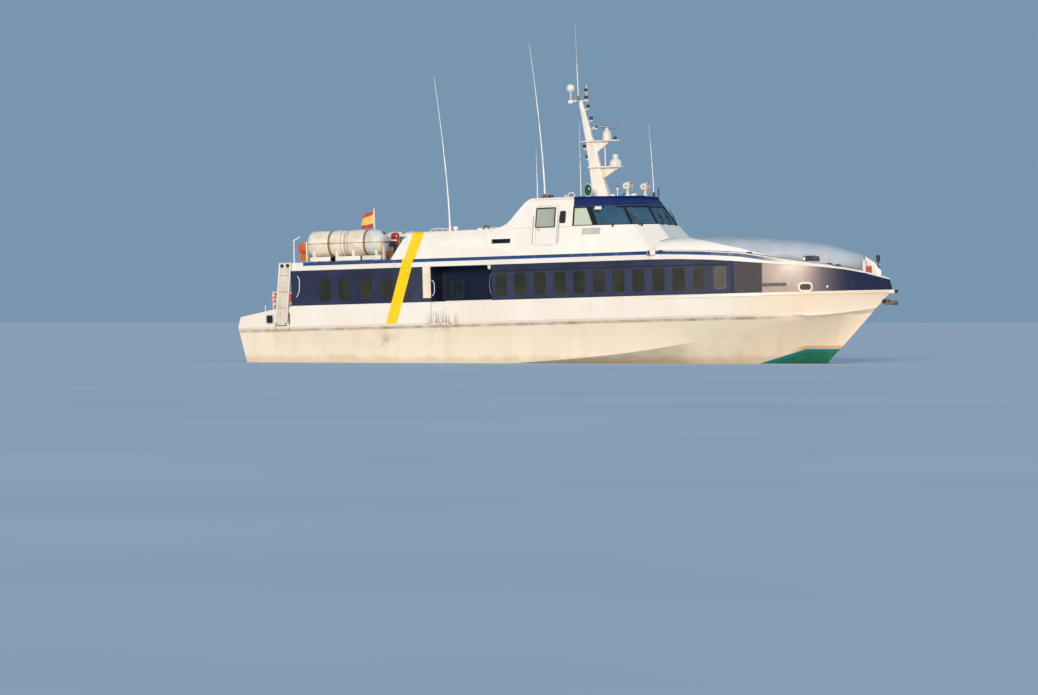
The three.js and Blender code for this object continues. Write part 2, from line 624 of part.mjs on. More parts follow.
// A block through a wall: the facet's corners drawn in by margins, swept out and in along its normal.
function windowBlock([a, b, c, d], marginA, marginB, reach = 260) {
  const drawn = [
    [a, b, marginA], [b, a, marginB], [c, d, marginB], [d, c, marginA],
  ].map(([p, q, margin]) => p.clone().add(q.clone().sub(p).setLength(margin)));
  const normal = b.clone().sub(a).cross(d.clone().sub(a)).normalize().multiplyScalar(reach);
  return loft([drawn.map((p) => p.clone().add(normal)), drawn.map((p) => p.clone().sub(normal))]);
}

function sideWindow(side, xLow, xTop, z) {
  const at = (x, level) => v3(x, side * sideHalf(level), level);
  const corners = [at(xLow[0], z[0]), at(xLow[1], z[0]), at(xTop[1], z[1]), at(xTop[0], z[1])];
  return windowBlock(corners, 0, 0);
}

// The leaning side wall's normal, and a point at a depth behind its outer face
const LEAN = { out: 1 / Math.hypot(1, TUMBLE), up: TUMBLE / Math.hypot(1, TUMBLE) };
const behindWall = (z, depth) => [sideHalf(z) - depth * LEAN.out, z - depth * LEAN.up];
const doorWindow = (side, grow = 0) => sideWindow(
  side, [-290 - grow, 520 + grow], [-290 - grow, 520 + grow], [SILL_Z - 20 - grow, HEAD_Z + 30 + grow]);

function doorSlab(side, x, z, depth) {
  const corners = [[z[0], depth[0]], [z[0], depth[1]], [z[1], depth[1]], [z[1], depth[0]]];
  const points = corners.map(([level, d]) => behindWall(level, d)).map(([y, level]) => [side * y, level]);
  return framePlate(side < 0 ? points.reverse() : points, x);
}

const doorLeaf = (side, from = 0, to = BRIDGE_DOOR.thick) => doorSlab(
  side, BRIDGE_DOOR.x, BRIDGE_DOOR.z, [from, to]);

// The doorway, wider at the hinge, where the leaf's edge swings through.
function doorway(side) {
  const [x0, x1] = BRIDGE_DOOR.x;
  const [z0, z1] = BRIDGE_DOOR.z;
  return doorSlab(side, [x0 - CLEAR, x1 + BRIDGE_DOOR.swing], [z0 - CLEAR, z1 + CLEAR], [-40, WALL + 40]);
}

// A bridge door's hinge runs up its forward edge, in the leaning wall.
function doorHinge(side) {
  const at = (z) => {
    const [y, level] = behindWall(z, BRIDGE_DOOR.thick / 2);
    return v3(BRIDGE_DOOR.x[1] - 26, side * y, level);
  };
  return { low: at(BRIDGE_DOOR.z[0]), top: at(BRIDGE_DOOR.z[1]) };
}

function hingeRods(side, shape, reach, inside) {
  const { low, top } = doorHinge(side);
  const up = top.clone().sub(low).normalize();
  const ends = [[low, -1], [top, 1]];
  return join(...ends.map(([p, sign]) => {
    const from = p.clone().addScaledVector(up, -sign * inside);
    return shape(from, p.clone().addScaledVector(up, sign * reach), PIN_RADIUS);
  }));
}

const BAND = { low: SILL_Z - 10, top: HEAD_Z + 10 };
const GLASS_Z = [BAND.low - 30, BAND.top + 30];

function bridge() {
  const outer = onDeck(bridgeShell(SUNK_Z, BRIDGE_ROOF_Z, 0));
  const room = loft([BRIDGE_FLOOR_Z, SILL_Z, BRIDGE_ROOF_Z + 50].map((z) => bridgeOutline(z, WALL)));
  let body = cut(outer, room);
  // The glazing strip lies in a rebate behind the window posts.
  const rebate = loft(GLASS_Z.map((z) => bridgeOutline(z, WALL - GLASS - 10)));
  const front = box([1250, 7000], [-4000, 4000], [BAND.low - 60, BAND.top + 60]);
  body = cut(body, rebate.intersect(front));
  for (const [, side] of SIDES) {
    const fan = [[1, 70, 60], [2, 60, 60]];
    for (const [i, a, b] of fan) body = cut(body, windowBlock(facet(i, SILL_Z, HEAD_Z, side), a, b));
    const [paneAft, paneFore] = PANE_SIDE.x;
    const paneTop = [paneAft, paneFore - PANE_SIDE.slant];
    body = cut(body, sideWindow(side, PANE_SIDE.x, paneTop, [SILL_Z, HEAD_Z]));
    body = cut(body, doorway(side));
    body = cut(body, hingeRods(side, boreRod, PIN_REACH + CLEAR + 1, -1));
  }
  return cut(body, windowBlock(facet(3, SILL_Z, HEAD_Z), 60, 60));
}
place('bridge', bridge(), 'white');

function glazing() {
  const outer = loft(GLASS_Z.map((z) => bridgeOutline(z, WALL - GLASS - 10 + SEAT)));
  const inner = loft(GLASS_Z.map((z) => bridgeOutline(z, WALL - 10)));
  const room = box([1260, 7000], [-4000, 4000], [GLASS_Z[0] + SEAT, GLASS_Z[1] - SEAT]);
  return cut(outer, inner).intersect(room);
}
place('bridge_glazing', glazing(), 'glass');

// Bridge roof: a plate with a deep brow over the front windows
const BROW_OUT = 60;

function bridgeRoof() {
  const plate = loft([
    bridgeOutline(BRIDGE_ROOF_Z + SEAT, -BROW_OUT),
    bridgeOutline(BRIDGE_TOP_Z, 0),
  ]);
  return plate.intersect(box([BRIDGE_AFT_X, 9000], [-4000, 4000], [0, 9000]));
}
place('bridge_roof', bridgeRoof(), 'brow');

for (const [name, side] of SIDES) {
  const leaf = cut(doorLeaf(side), doorWindow(side));
  const pins = hingeRods(side, pinRod, PIN_REACH + CLEAR - 2, 60);
  place(`bridge_door_${name}`, join(leaf, pins), 'white');
  const paneSlab = doorLeaf(side, 17, 33);
  const pane = paneSlab.intersect(sideWindow(
    side, [-290 + SEAT, 520 - SEAT], [-290 + SEAT, 520 - SEAT], [SILL_Z - 20 + SEAT, HEAD_Z + 30 - SEAT]));
  place(`bridge_door_glass_${name}`, pane, 'glass');
}

// Helm console and chairs inside the bridge
const HELM_FOOT_Z = BRIDGE_FLOOR_Z + SEAT;
const helmProfile = [
  [3350, HELM_FOOT_Z], [4150, HELM_FOOT_Z], [4500, 5700], [4300, 5760], [3700, 5640], [3500, 5420],
];
place('helm_console', sidePlate(helmProfile, [-1150, 1150]), 'dark');

function chairs() {
  const plinth = box([2350, 2650], [-800, 800], [HELM_FOOT_Z, BRIDGE_FLOOR_Z + 60]);
  const seats = [-560, 560].map((y) => join(
    rod(v3(2500, y, BRIDGE_FLOOR_Z + 40), v3(2500, y, BRIDGE_FLOOR_Z + 480), 70),
    box([2270, 2770], [y - 250, y + 250], [BRIDGE_FLOOR_Z + 450, BRIDGE_FLOOR_Z + 570]),
    box([2210, 2310], [y - 240, y + 240], [BRIDGE_FLOOR_Z + 500, BRIDGE_FLOOR_Z + 1250])));
  return join(plinth, ...seats);
}
place('helm_chairs', chairs(), 'dark');

// Foredeck: the turtleback from the bridge front to the bow well
const crownZ = smooth([
  [4600, 5190], [6000, 5265], [7500, 5250], [9140, 5160],
  [10960, 4970], [12300, 4730], [13000, 4520], [13840, 4220],
]);
const TURTLE = { from: 5400, to: 13850, walk: 330 };
const HATCH = { x: [11560, 12240], y: [1475, 1515], z: [4020, 4205], pin: 8 };

function turtleback() {
  const rows = 9;
  const ring = (t) => {
    const x = lerp(TURTLE.from, TURTLE.to, t);
    const edge = Math.max(roofHalfTop(x) - TURTLE.walk * Math.min(1, (x - 5000) / 4000), 350);
    const foot = sheerZ(x) + 45;
    return Array.from({ length: rows }, (_, i) => {
      const angle = Math.PI * (i / (rows - 1));
      const [across, up] = [Math.cos(angle), Math.max(Math.sin(angle), 0)];
      const y = -edge * Math.sign(across) * Math.abs(across) ** 0.75;
      return v3(x, y, foot + (crownZ(x) - foot) * up ** 0.8);
    });
  };
  return loft(stations(14, ring));
}

function foredeck() {
  let body = cut(turtleback(), bridgeShell(SUNK_Z, BRIDGE_ROOF_Z, -1));
  for (const [, side] of SIDES) {
    const x = [HATCH.x[0] - CLEAR, HATCH.x[1] + CLEAR];
    const z = [HATCH.z[0] - CLEAR, HATCH.z[1] + 20];
    const recess = sideBox(side, x, [HATCH.y[0] - 180, 2400], z);
    body = cut(body, recess, hatchPins(side, boreRod, CLEAR + 22));
  }
  return onDeck(body);
}

// Hatch lids in the sides of the turtleback, each turning on a pin along its upper edge
const HATCH_AXIS_Z = HATCH.z[1] - 12;

function hatchPins(side, shape, reach) {
  const y = side * (HATCH.y[0] + HATCH.y[1]) / 2;
  const at = (x) => v3(x, y, HATCH_AXIS_Z);
  return shape(at(HATCH.x[0] - reach), at(HATCH.x[1] + reach), HATCH.pin);
}
place('foredeck', foredeck(), 'white');
for (const [name, side] of SIDES) {
  const lid = sideBox(side, HATCH.x, HATCH.y, HATCH.z);
  place(`foredeck_hatch_${name}`, join(lid, hatchPins(side, pinRod, CLEAR + 20)), 'dark');
}

// Mast
// Rows up the mast: [z, after edge x, forward edge x, half width]
const MAST = [
  [BRIDGE_TOP_Z + SEAT, 1480, 2240, 260], [8450, 1330, 1860, 190], [9570, 1180, 1620, 150],
  [9870, 1130, 1480, 130], [11480, 850, 1030, 70],
];

// Flat decks on the mast: x from and to, top, thickness and half width
const MAST_LOW = { x: [1300, 2840], z: 8530, thick: 60, half: 420 };
const MAST_TOP = { x: [960, 2760], z: 9690, thick: 50, half: 360 };
const YARD_Z = [11450, 11510];
const RADAR = { x: 2140, half: 700, thick: 70, turn: -24, z: [10240, 10330], pin: 30 };

function mastLamp(x, z, reach) {
  const arm = box([Math.min(x, x + reach), Math.max(x, x + reach)], [-20, 20], [z - 110, z - 80]);
  const at = v3(x + reach, 0, z - 90);
  return join(arm, turned([[0, 0], [80, 0], [80, 170], [50, 190], [0, 190]], at, 10));
}

function mast() {
  const column = loft(MAST.map(([z, a, b, w]) => [
    v3(a, -w * 0.55, z), v3(b, -w, z), v3(b, w, z), v3(a, w * 0.55, z),
  ]));
  const decks = [MAST_LOW, MAST_TOP].map(({ x, z, thick, half }) => box(x, [-half, half], [z - thick, z]));
  const gussets = [
    sidePlate([[1700, 8490], [2760, 8490], [2000, 8030], [1800, 8030]], [-30, 30]),
    sidePlate([[1500, 9660], [2300, 9660], [1700, 9190], [1560, 9190]], [-30, 30]),
  ];
  const domeRows = [[0, -20], [260, -20], [270, 120], [200, 300], [90, 370], [60, 540], [0, 540]];
  const radarRows = [[0, -20], [180, -20], [200, 130], [190, 330], [110, 430], [70, 520], [0, 520]];
  const foreLamp = [[0, -20], [70, -20], [70, 150], [0, 150]];
  const onDecks = [
    turned(domeRows, v3(2520, 0, MAST_LOW.z), 14),
    turned(radarRows, v3(RADAR.x, 0, MAST_TOP.z), 14),
    turned(foreLamp, v3(2520, 0, MAST_TOP.z), 10),
  ];
  const yards = [box([390, 1300], [-30, 30], YARD_Z), box([880, 960], [-620, 620], YARD_Z)];
  const ballRows = [[0, -600], [25, -600], [25, -190], [120, -150], [190, 0], [150, 130], [0, 200]];
  const stackRows = [
    [0, -40], [80, -40], [80, 170], [30, 190], [30, 300], [80, 320], [80, 500], [0, 520],
  ];
  const aloft = [
    turned(ballRows, v3(480, 0, 12080), 12),
    turned(stackRows, v3(1200, 0, 11530), 10),
    rod(v3(840, 0, 11480), v3(760, 0, 14940), 26, 10, 6),
  ];
  const lamps = [[1050, 11210, 240], [1180, 10670, 240], [1260, 9440, -190], [1340, 8960, -150]]
    .map(([x, z, reach]) => mastLamp(x, z, reach));
  const body = join(column, ...decks, ...gussets, ...onDecks, ...yards, ...aloft, ...lamps);
  return cut(body, boreRod(v3(RADAR.x, 0, 10150), v3(RADAR.x, 0, 10300), RADAR.pin));
}
place('mast', mast(), 'white');

// Radar scanner on its spindle
function scanner() {
  const bar = box([-RADAR.thick, RADAR.thick], [-RADAR.half, RADAR.half], RADAR.z)
    .rotate([0, 0, RADAR.turn]).translate([RADAR.x, 0, 0]);
  return join(bar, pinRod(v3(RADAR.x, 0, 10160), v3(RADAR.x, 0, RADAR.z[0] + 20), RADAR.pin));
}
place('radar_scanner', scanner(), 'white');

// Whip antennas: [name, foot x, y, z, tip x, tip z, foot radius]
const WHIPS = [
  ['house', -4750, -1800, HOUSE_TOP_Z, -5350, 12760, 34],
  ['bridge_aft', -160, -1900, BRIDGE_TOP_Z, -740, 14040, 34],
  ['bridge_corner', -400, -2200, BRIDGE_TOP_Z, -420, 9370, 22],
  ['bridge_port', 170, 1900, BRIDGE_TOP_Z, 160, 10770, 22],
  ['bridge_fore', 3940, 980, BRIDGE_TOP_Z, 3780, 10350, 24],
];
for (const [name, x, y, z, tipX, tipZ, radius] of WHIPS) {
  const foot = rod(v3(x, y, z + SEAT), v3(x, y, z + 160), 60, 50, 8);
  const length = tipZ - z;
  const bend = (k) => v3(x + (tipX - x) * k ** 1.5, y, z + 100 + (length - 100) * k);
  const width = (k) => radius * (1.2 - k);
  const parts = [[0, 0.5], [0.5, 1]].map(([a, b]) => rod(bend(a), bend(b), width(a), width(b), 6));
  place(`whip_antenna_${name}`, join(foot, ...parts), 'fibreglass');
}

// Searchlights on the bridge roof
for (const [name, side, x] of [['starboard', -1, 3330], ['port', 1, 3600]]) {
  const at = v3(x, side * 800, BRIDGE_TOP_Z + SEAT);
  const body = turned([[0, 0], [130, 0], [130, 60], [45, 120], [40, 320], [0, 320]], at, 12);
  const head = rod(at.clone().add(v3(-170, 0, 460)), at.clone().add(v3(170, 0, 460)), 150, 205, 14);
  place(`searchlight_${name}`, join(body, head), 'white');
}

// Side doors in the bays, the after door and the bulwark gates
function barrel(x, y, z) {
  return pin(x, y, DECK_Z - 28, z[1] + 34);
}

for (const [name, side] of SIDES) {
  const hinge = bayHinge(side);
  const slabY = [BAY_WALL_Y + SEAT, BAY_WALL_Y + BAY_DOOR.thick];
  const slab = sideBox(side, BAY_DOOR.x, slabY, BAY_DOOR.z);
  const strapY = [BAY_WALL_Y + 30, Math.abs(hinge.y) + 8];
  const strap = sideBox(side, [hinge.x - 60, hinge.x], strapY, BAY_DOOR.z);
  place(`bay_door_${name}`, join(slab, strap, barrel(hinge.x, hinge.y, BAY_DOOR.z)), 'navy');
  const axis = gateAxis(side);
  const gateY = [axis.y - GATE.thick / 2, axis.y + GATE.thick / 2];
  const leaf = box([GATE.x[0] + GATE.heel, GATE.x[1] - CLEAR], gateY, [DECK_Z + 12, BELT_TOP_Z]);
  place(`bulwark_gate_${name}`, join(leaf, pin(axis.x, axis.y, DECK_Z - 55, DECK_Z + 40)), 'white');
}
const aftSlab = box([HOUSE_AFT_X - AFT_DOOR.thick, HOUSE_AFT_X - SEAT * 2], AFT_DOOR.y, AFT_DOOR.z);
const aftStrap = box([AFT_HINGE.x - 8, HOUSE_AFT_X - 30], [AFT_HINGE.y - 60, AFT_HINGE.y], AFT_DOOR.z);
place('after_door', join(aftSlab, aftStrap, barrel(AFT_HINGE.x, AFT_HINGE.y, AFT_DOOR.z)), 'white');

// Gangway stowed upright at the starboard quarter
function gangway() {
  const [a, b] = GANGWAY.x;
  const [c, d] = GANGWAY.top;
  const [z0, z1] = GANGWAY.z;
  const plank = sidePlate([[a, z0], [b, z0], [d, z1], [c, z1]], [-GANGWAY.y[1], -GANGWAY.y[0]]);
  const at = (x) => v3(x, GANGWAY_PIN.y, GANGWAY_PIN.z);
  const bores = [[a - 100, a + 70], [b - 70, b + 100]];
  return cut(plank, ...bores.map(([from, to]) => boreRod(at(from), at(to), PIN_RADIUS)));
}
place('gangway', gangway(), 'plank');

// Davit for the rescue boat: a column with two cheeks, and a boom that luffs on the pin between them
const DAVIT = { x: -7780, y: 1250, top: 5700, pinZ: 5830, reach: 2500, heel: 80, cheek: 30, pin: 30 };
const BOOM = { half: 60, low: 5760, top: 5900 };

function davitColumn() {
  const { x, y, top, pinZ, cheek } = DAVIT;
  const post = rod(v3(x, y, DECK_TOP_Z + SEAT), v3(x, y, top), 120, 110, 14);
  const inner = BOOM.half + CLEAR;
  const cheeks = [-1, 1].map((side) => {
    const across = [y + side * inner, y + side * (inner + cheek)].sort((a, b) => a - b);
    return box([x - 75, x + 75], across, [top - 90, pinZ + 70]);
  });
  const head = box([x - 75, x + 75], [y - inner - cheek, y + inner + cheek], [top - 90, top]);
  const axle = pinRod(v3(x, y - inner - 5, pinZ), v3(x, y + inner + 5, pinZ), DAVIT.pin);
  return join(post, head, ...cheeks, axle);
}
place('davit_column', davitColumn(), 'white');

function davitBoom() {
  const { x, y, pinZ, reach, heel } = DAVIT;
  const beam = box([x - reach, x + heel], [y - BOOM.half, y + BOOM.half], [BOOM.low, BOOM.top]);
  const hookX = x - reach + 80;
  const hook = rod(v3(hookX, y, BOOM.low - 170), v3(hookX, y, BOOM.low + 20), 25, 40, 8);
  return cut(join(beam, hook), boreRod(v3(x, y - 200, pinZ), v3(x, y + 200, pinZ), DAVIT.pin));
}
place('davit_boom', davitBoom(), 'steel');

// Flagstaff, and the flag that streams aft of it: the solid widens towards the fly, round the cloth's folds
const STAFF = { x: -8640, y: -1230, radius: 22 };
const staffRows = [
  [0, 0], [70, 0], [60, 40], [STAFF.radius, 60], [STAFF.radius, 2270], [40, 2290], [40, 2330], [0, 2340],
];
place('flagstaff', turned(staffRows, v3(STAFF.x, STAFF.y, DECK_TOP_Z + SEAT), 8), 'white');
const FLAG = { hoist: [6150, 6930], fly: [6090, 6780], flyX: -9270, y: [25, 105] };

function flag() {
  const hoistX = STAFF.x - STAFF.radius - SEAT;
  const side = [
    [hoistX, FLAG.hoist[0]], [hoistX, FLAG.hoist[1]], [FLAG.flyX, FLAG.fly[1]], [FLAG.flyX, FLAG.fly[0]],
  ];
  const [y0, y1] = FLAG.y;
  const wedge = [[hoistX, -y0], [hoistX, y0], [FLAG.flyX, y1], [FLAG.flyX, -y1]];
  return sidePlate(side, [-200, 200]).intersect(deckPlate(wedge, [6000, 7000])).translate([0, STAFF.y, 0]);
}
place('flag', flag(), 'cloth');

// Lifebuoys
const BUOY = { ring: 290, tube: 70 };
const FRAME = { x: [-12960, -12220], y: -2930, top: 3330, pipe: 24 };
const buoyShape = () => new THREE.TorusGeometry(BUOY.ring, BUOY.tube, 8, 20);
const buoyOnFrame = place('lifebuoy_frame', solid(buoyShape().rotateX(rad(90))), 'orange');
buoyOnFrame.position.set(-12740, FRAME.y + FRAME.pipe + BUOY.tube + SEAT, 3000);
const buoyOnHouse = place('lifebuoy_house', solid(buoyShape().rotateY(rad(90))), 'orange');
buoyOnHouse.position.set(HOUSE_AFT_X - BUOY.tube - SEAT * 2, -2860, 3050);

// Pipe frame on the after deck, inside the break of the bulwark
function gangwayFrame() {
  const at = (x, z) => v3(x, FRAME.y, z);
  const [a, b] = FRAME.x;
  const posts = [a, b].map((x) => rod(at(x, DECK_Z + SEAT), at(x, FRAME.top), FRAME.pipe, FRAME.pipe, 8));
  const bars = [FRAME.top, 3010, 2500].map((z) => rod(at(a, z), at(b, z), FRAME.pipe, FRAME.pipe, 8));
  return join(...posts, ...bars);
}
place('gangway_frame', gangwayFrame(), 'white');

// Anchor on the stem and the rubber fender at the bow
const ANCHOR = { crown: [15040, 15290], half: 300, z: [2010, 2210] };
const anchorParts = [
  rod(v3(14560, 0, 2300), v3(15200, 0, 2120), 50, 50, 8),
  box([14600, 14900], [-90, 90], [2090, 2270]),
  box(ANCHOR.crown, [-ANCHOR.half, ANCHOR.half], ANCHOR.z),
  ...SIDES.map(([, side]) => sideBox(side, [14760, 15060], [230, ANCHOR.half], [2020, 2120])),
];
place('anchor', cut(join(...anchorParts), hullBody.translate([SEAT * 2, 0, 0])), 'dark');
const fenderX = stemX(BELT_TOP_Z) + RUB.nose + SEAT;
const FENDER = { radius: 70, z: [BELT_LOW_Z + 5, BELT_TOP_Z - 10] };
const fenderAt = (z) => v3(fenderX + FENDER.radius, 0, z);
place('bow_fender', join(
  rod(fenderAt(FENDER.z[0]), fenderAt(FENDER.z[1]), FENDER.radius, FENDER.radius, 14),
  box([fenderX, fenderX + FENDER.radius], [-FENDER.radius, FENDER.radius], FENDER.z)), 'rubber');

// On the bow deck: a locker with a sloping front, an air pipe, a rope reel, and the bow light on the locker
const BOW_DECK_Z = WELL.floor + SEAT;
const LOCKER = { y: [-60, 150], front: [14600, 3500], bend: [14330, 3880], back: [13890, 4180] };
const PIPE = { x: 13960, y: -460, radius: 68, top: 3950 };
const REEL = { x: [14040, 14200], y: -235, z: 3600, radius: 170 };
const BOW_LIGHT_X = 14470;
const locker = sidePlate([
  [LOCKER.back[0], BOW_DECK_Z], [LOCKER.front[0], BOW_DECK_Z], LOCKER.front, LOCKER.bend, LOCKER.back,
], LOCKER.y);
const pipeAt = (z) => v3(PIPE.x, PIPE.y, z);
place('bow_locker', join(
  locker,
  rod(pipeAt(BOW_DECK_Z), pipeAt(PIPE.top), PIPE.radius, PIPE.radius, 10),
  rod(pipeAt(PIPE.top), pipeAt(PIPE.top + 50), PIPE.radius + 32, PIPE.radius + 32, 10),
  box([PIPE.x - 65, PIPE.x + 65], [PIPE.y - 50, 0], [BOW_DECK_Z, BOW_DECK_Z + 80])), 'white');
place('windlass', join(
  box([REEL.x[0] + 10, REEL.x[1] + 20], [REEL.y - 90, REEL.y + 90], [BOW_DECK_Z, 3280]),
  box([REEL.x[0] + 30, REEL.x[1] - 30], [REEL.y - 50, REEL.y + 50], [3200, REEL.z]),
  rod(v3(REEL.x[0], REEL.y, REEL.z), v3(REEL.x[1], REEL.y, REEL.z), REEL.radius, REEL.radius, 14)), 'orange');
const lightRows = [[0, 0], [22, 0], [22, 240], [80, 270], [95, 400], [70, 520], [0, 550]];
const bowLight = turned(lightRows, v3(BOW_LIGHT_X, 0, 3660), 10);
place('bow_light', cut(bowLight, locker.translate([0, 0, SEAT])), 'dark');

// Propellers, their shafts with the struts, and the rudders
const BLADE = { thick: 26, chord: 150, reach: 190, at: 250, pitch: 32, count: 4 };
const SHAFT = { sleeve: 80, radius: 45, strut: 22, end: [-7800, -600] };
const hullSunk = hullBody.translate([0, 0, -SEAT * 2]);

function propeller() {
  const blades = Array.from({ length: BLADE.count }, (_, i) => {
    const blade = new THREE.SphereGeometry(1, 10, 8);
    blade.scale(BLADE.thick, BLADE.chord, BLADE.reach).rotateZ(rad(BLADE.pitch)).translate(0, 0, BLADE.at);
    return solid(blade.rotateX(rad((360 / BLADE.count) * i)));
  });
  const half = PROP.length / 2;
  const hub = rod(v3(-half, 0, 0), v3(half, 0, 0), 70, PROP.hub, 16);
  return cut(join(hub, ...blades), boreRod(v3(half - 120, 0, 0), v3(PROP.length, 0, 0), PROP.axle));
}

function shaft(y) {
  const start = PROP.x + PROP.length / 2 + CLEAR;
  const at = (x) => v3(x, y, PROP.z);
  const [endX, endZ] = SHAFT.end;
  const line = join(
    rod(at(start), at(start + 300), SHAFT.sleeve),
    pinRod(at(start - CLEAR - 110), at(start + 20), PROP.axle),
    rod(at(start + 200), v3(endX, y, endZ), SHAFT.radius),
    box([start + 60, start + 240], [y - SHAFT.strut, y + SHAFT.strut], [PROP.z, -500]));
  return cut(line, hullSunk);
}

function rudder(y) {
  const { x, chord, top, bottom } = RUDDER;
  const blade = sidePlate([
    [x - chord * 0.62, top - 90], [x + chord * 0.38, top - 60],
    [x + chord * 0.3, bottom], [x - chord * 0.5, bottom],
  ], [y - 32, y + 32]);
  return join(blade, pinRod(v3(x, y, top - 200), v3(x, y, -300), RUDDER.stock));
}

for (const [name, side] of SIDES) {
  const y = side * SHAFT_Y;
  place(`propeller_${name}`, propeller(), 'bronze').position.set(PROP.x, y, PROP.z);
  place(`shaft_${name}`, shaft(y), 'steel');
  place(`rudder_${name}`, rudder(y), 'bronze');
}

export default ferry;
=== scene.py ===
import json
import math
from contextlib import contextmanager

import bmesh
import bpy
from mathutils import Matrix, Vector
from mathutils.bvhtree import BVHTree


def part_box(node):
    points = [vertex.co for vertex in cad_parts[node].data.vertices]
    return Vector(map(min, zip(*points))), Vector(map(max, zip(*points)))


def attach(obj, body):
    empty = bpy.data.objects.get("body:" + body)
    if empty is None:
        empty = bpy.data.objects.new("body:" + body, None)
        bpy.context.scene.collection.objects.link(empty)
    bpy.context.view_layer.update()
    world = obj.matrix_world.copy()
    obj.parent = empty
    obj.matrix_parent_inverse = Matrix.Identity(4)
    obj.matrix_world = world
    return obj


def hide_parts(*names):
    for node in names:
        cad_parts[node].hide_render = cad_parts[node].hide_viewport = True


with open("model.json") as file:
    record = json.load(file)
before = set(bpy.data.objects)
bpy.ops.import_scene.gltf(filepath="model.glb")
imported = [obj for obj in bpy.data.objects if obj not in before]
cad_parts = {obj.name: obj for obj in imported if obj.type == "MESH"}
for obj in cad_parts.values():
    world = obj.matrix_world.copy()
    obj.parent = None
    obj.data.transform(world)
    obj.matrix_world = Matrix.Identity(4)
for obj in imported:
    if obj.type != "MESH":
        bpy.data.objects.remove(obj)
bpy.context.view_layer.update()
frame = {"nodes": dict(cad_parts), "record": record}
bpy.ops.object.select_all(action="DESELECT")

NODES = frame["nodes"]
BODIES = frame["record"]["behaviour"]["bodies"]
BODY_OF = {node: body for body, nodes in BODIES.items() for node in nodes}
SIDES = (("starboard", -1), ("port", 1))

# The ship's lines, in metres: X forward, Y to port, Z up, from amidships at the waterline
TRIM = 0.02555  # sine of the bow-up trim when running
WATER = -0.15  # the running waterline amidships
SHEER = ((5.6, 4.62), (7.4, 4.55), (9.2, 4.40), (10.75, 4.11), (12.34, 3.85), (13.88, 3.54), (14.96, 3.15))
ROOF = 4.67  # top of the roof deck, where the rafts and the boat stand
BRIDGE_TOP = 7.14
BRIDGE_SEAT = 7.135  # just in the bridge roof, for what stands on it
WELL = 3.052  # floor of the well in the bow
SHAFT_Y, SHAFT_Z = -1.45, -1.26  # the starboard propeller
RUDDER_X = -13.35
LEAN = 0.26  # how far the house sides lean in for each metre of height
BAND_RAKE = 0.311  # how far the yellow band leans forward for each metre of height
LET_IN = 0.06  # how far the back of a window frame reaches into its wall


def wall_y(z):
    """Half breadth of the leaning house side at a height."""
    return 3.05 - LEAN * (z - 4.65)


# Materials

def linear(text):
    """The linear colour of an sRGB hex value."""
    parts = [int(text[i:i + 2], 16) / 255 for i in (1, 3, 5)]
    return [c / 12.92 if c <= 0.04045 else ((c + 0.055) / 1.055) ** 2.4 for c in parts] + [1.0]


def add(tree, kind, *inputs, **settings):
    """Adds a node. Inputs come in order or by name: a value, a hex colour, an output, or None."""
    node = tree.nodes.new("ShaderNode" + kind)
    for key, value in settings.items():
        setattr(node, key, value)
    if inputs and isinstance(inputs[0], dict):
        pairs = [(node.inputs[key], value) for key, value in inputs[0].items()]
    else:
        pairs = zip([socket for socket in node.inputs if socket.enabled], inputs)
    for socket, value in pairs:
        if isinstance(value, bpy.types.NodeSocket):
            tree.links.new(value, socket)
        elif value is not None:
            socket.default_value = linear(value) if isinstance(value, str) else value
    return next((socket for socket in node.outputs if socket.enabled), None)


def mix(tree, mask, under, over):
    """One colour laid over another where the mask is 1."""
    return add(tree, "Mix", mask, under, over, data_type="RGBA")


def times(tree, a, b):
    return add(tree, "Math", a, b, operation="MULTIPLY")


def ramp(tree, value, *limits):
    """The values between the first two limits spread from 0 to 1, or over the next two."""
    return add(tree, "MapRange", value, *limits)


def noise(tree, place, scale, detail, *limits):
    return ramp(tree, add(tree, "TexNoise", place, scale, detail), *limits)


def absolute(tree, value):
    return add(tree, "Math", value, operation="ABSOLUTE")


def facing(tree):
    """The way the surface faces, as X, Y and Z."""
    return add(tree, "SeparateXYZ", add(tree, "NewGeometry").node.outputs["Normal"]).node.outputs


def drawn_out(tree, place, by):
    """The place stretched, for runs and ribs: a small factor draws the noise out along that axis."""
    return add(tree, "Mapping", place, None, None, by)


def begin(name):
    made = bpy.data.materials.new(name)
    made.use_nodes = True
    made.node_tree.nodes.clear()
    place = add(made.node_tree, "TexCoord").node.outputs["Object"]
    return made, made.node_tree, place, add(made.node_tree, "SeparateXYZ", place).node.outputs[:]


def finish(made, colour, roughness, height=None, depth=0.001, **shader):
    """Closes a material: the shader with its colour, roughness and bump."""
    tree = made.node_tree
    values = {"Base Color": colour, "Roughness": roughness}
    values.update((key.replace("_", " "), value) for key, value in shader.items())
    if height is not None:
        values["Normal"] = add(tree, "Bump", 1.0, depth, None, height)
    add(tree, "OutputMaterial", {"Surface": add(tree, "BsdfPrincipled", values)})
    return made


def between(tree, value, low, high, soft=0.006):
    """1 where a value lies between two limits, fading at each."""
    rise = ramp(tree, value, low - soft, low + soft)
    fall = ramp(tree, value, high - soft, high + soft, 1.0, 0.0)
    return times(tree, rise, fall)


def within(tree, *spans):
    """1 inside all the spans, each (value, low, high) or (value, low, high, soft)."""
    first, *rest = [between(tree, *span) for span in spans]
    for mask in rest:
        first = times(tree, first, mask)
    return first


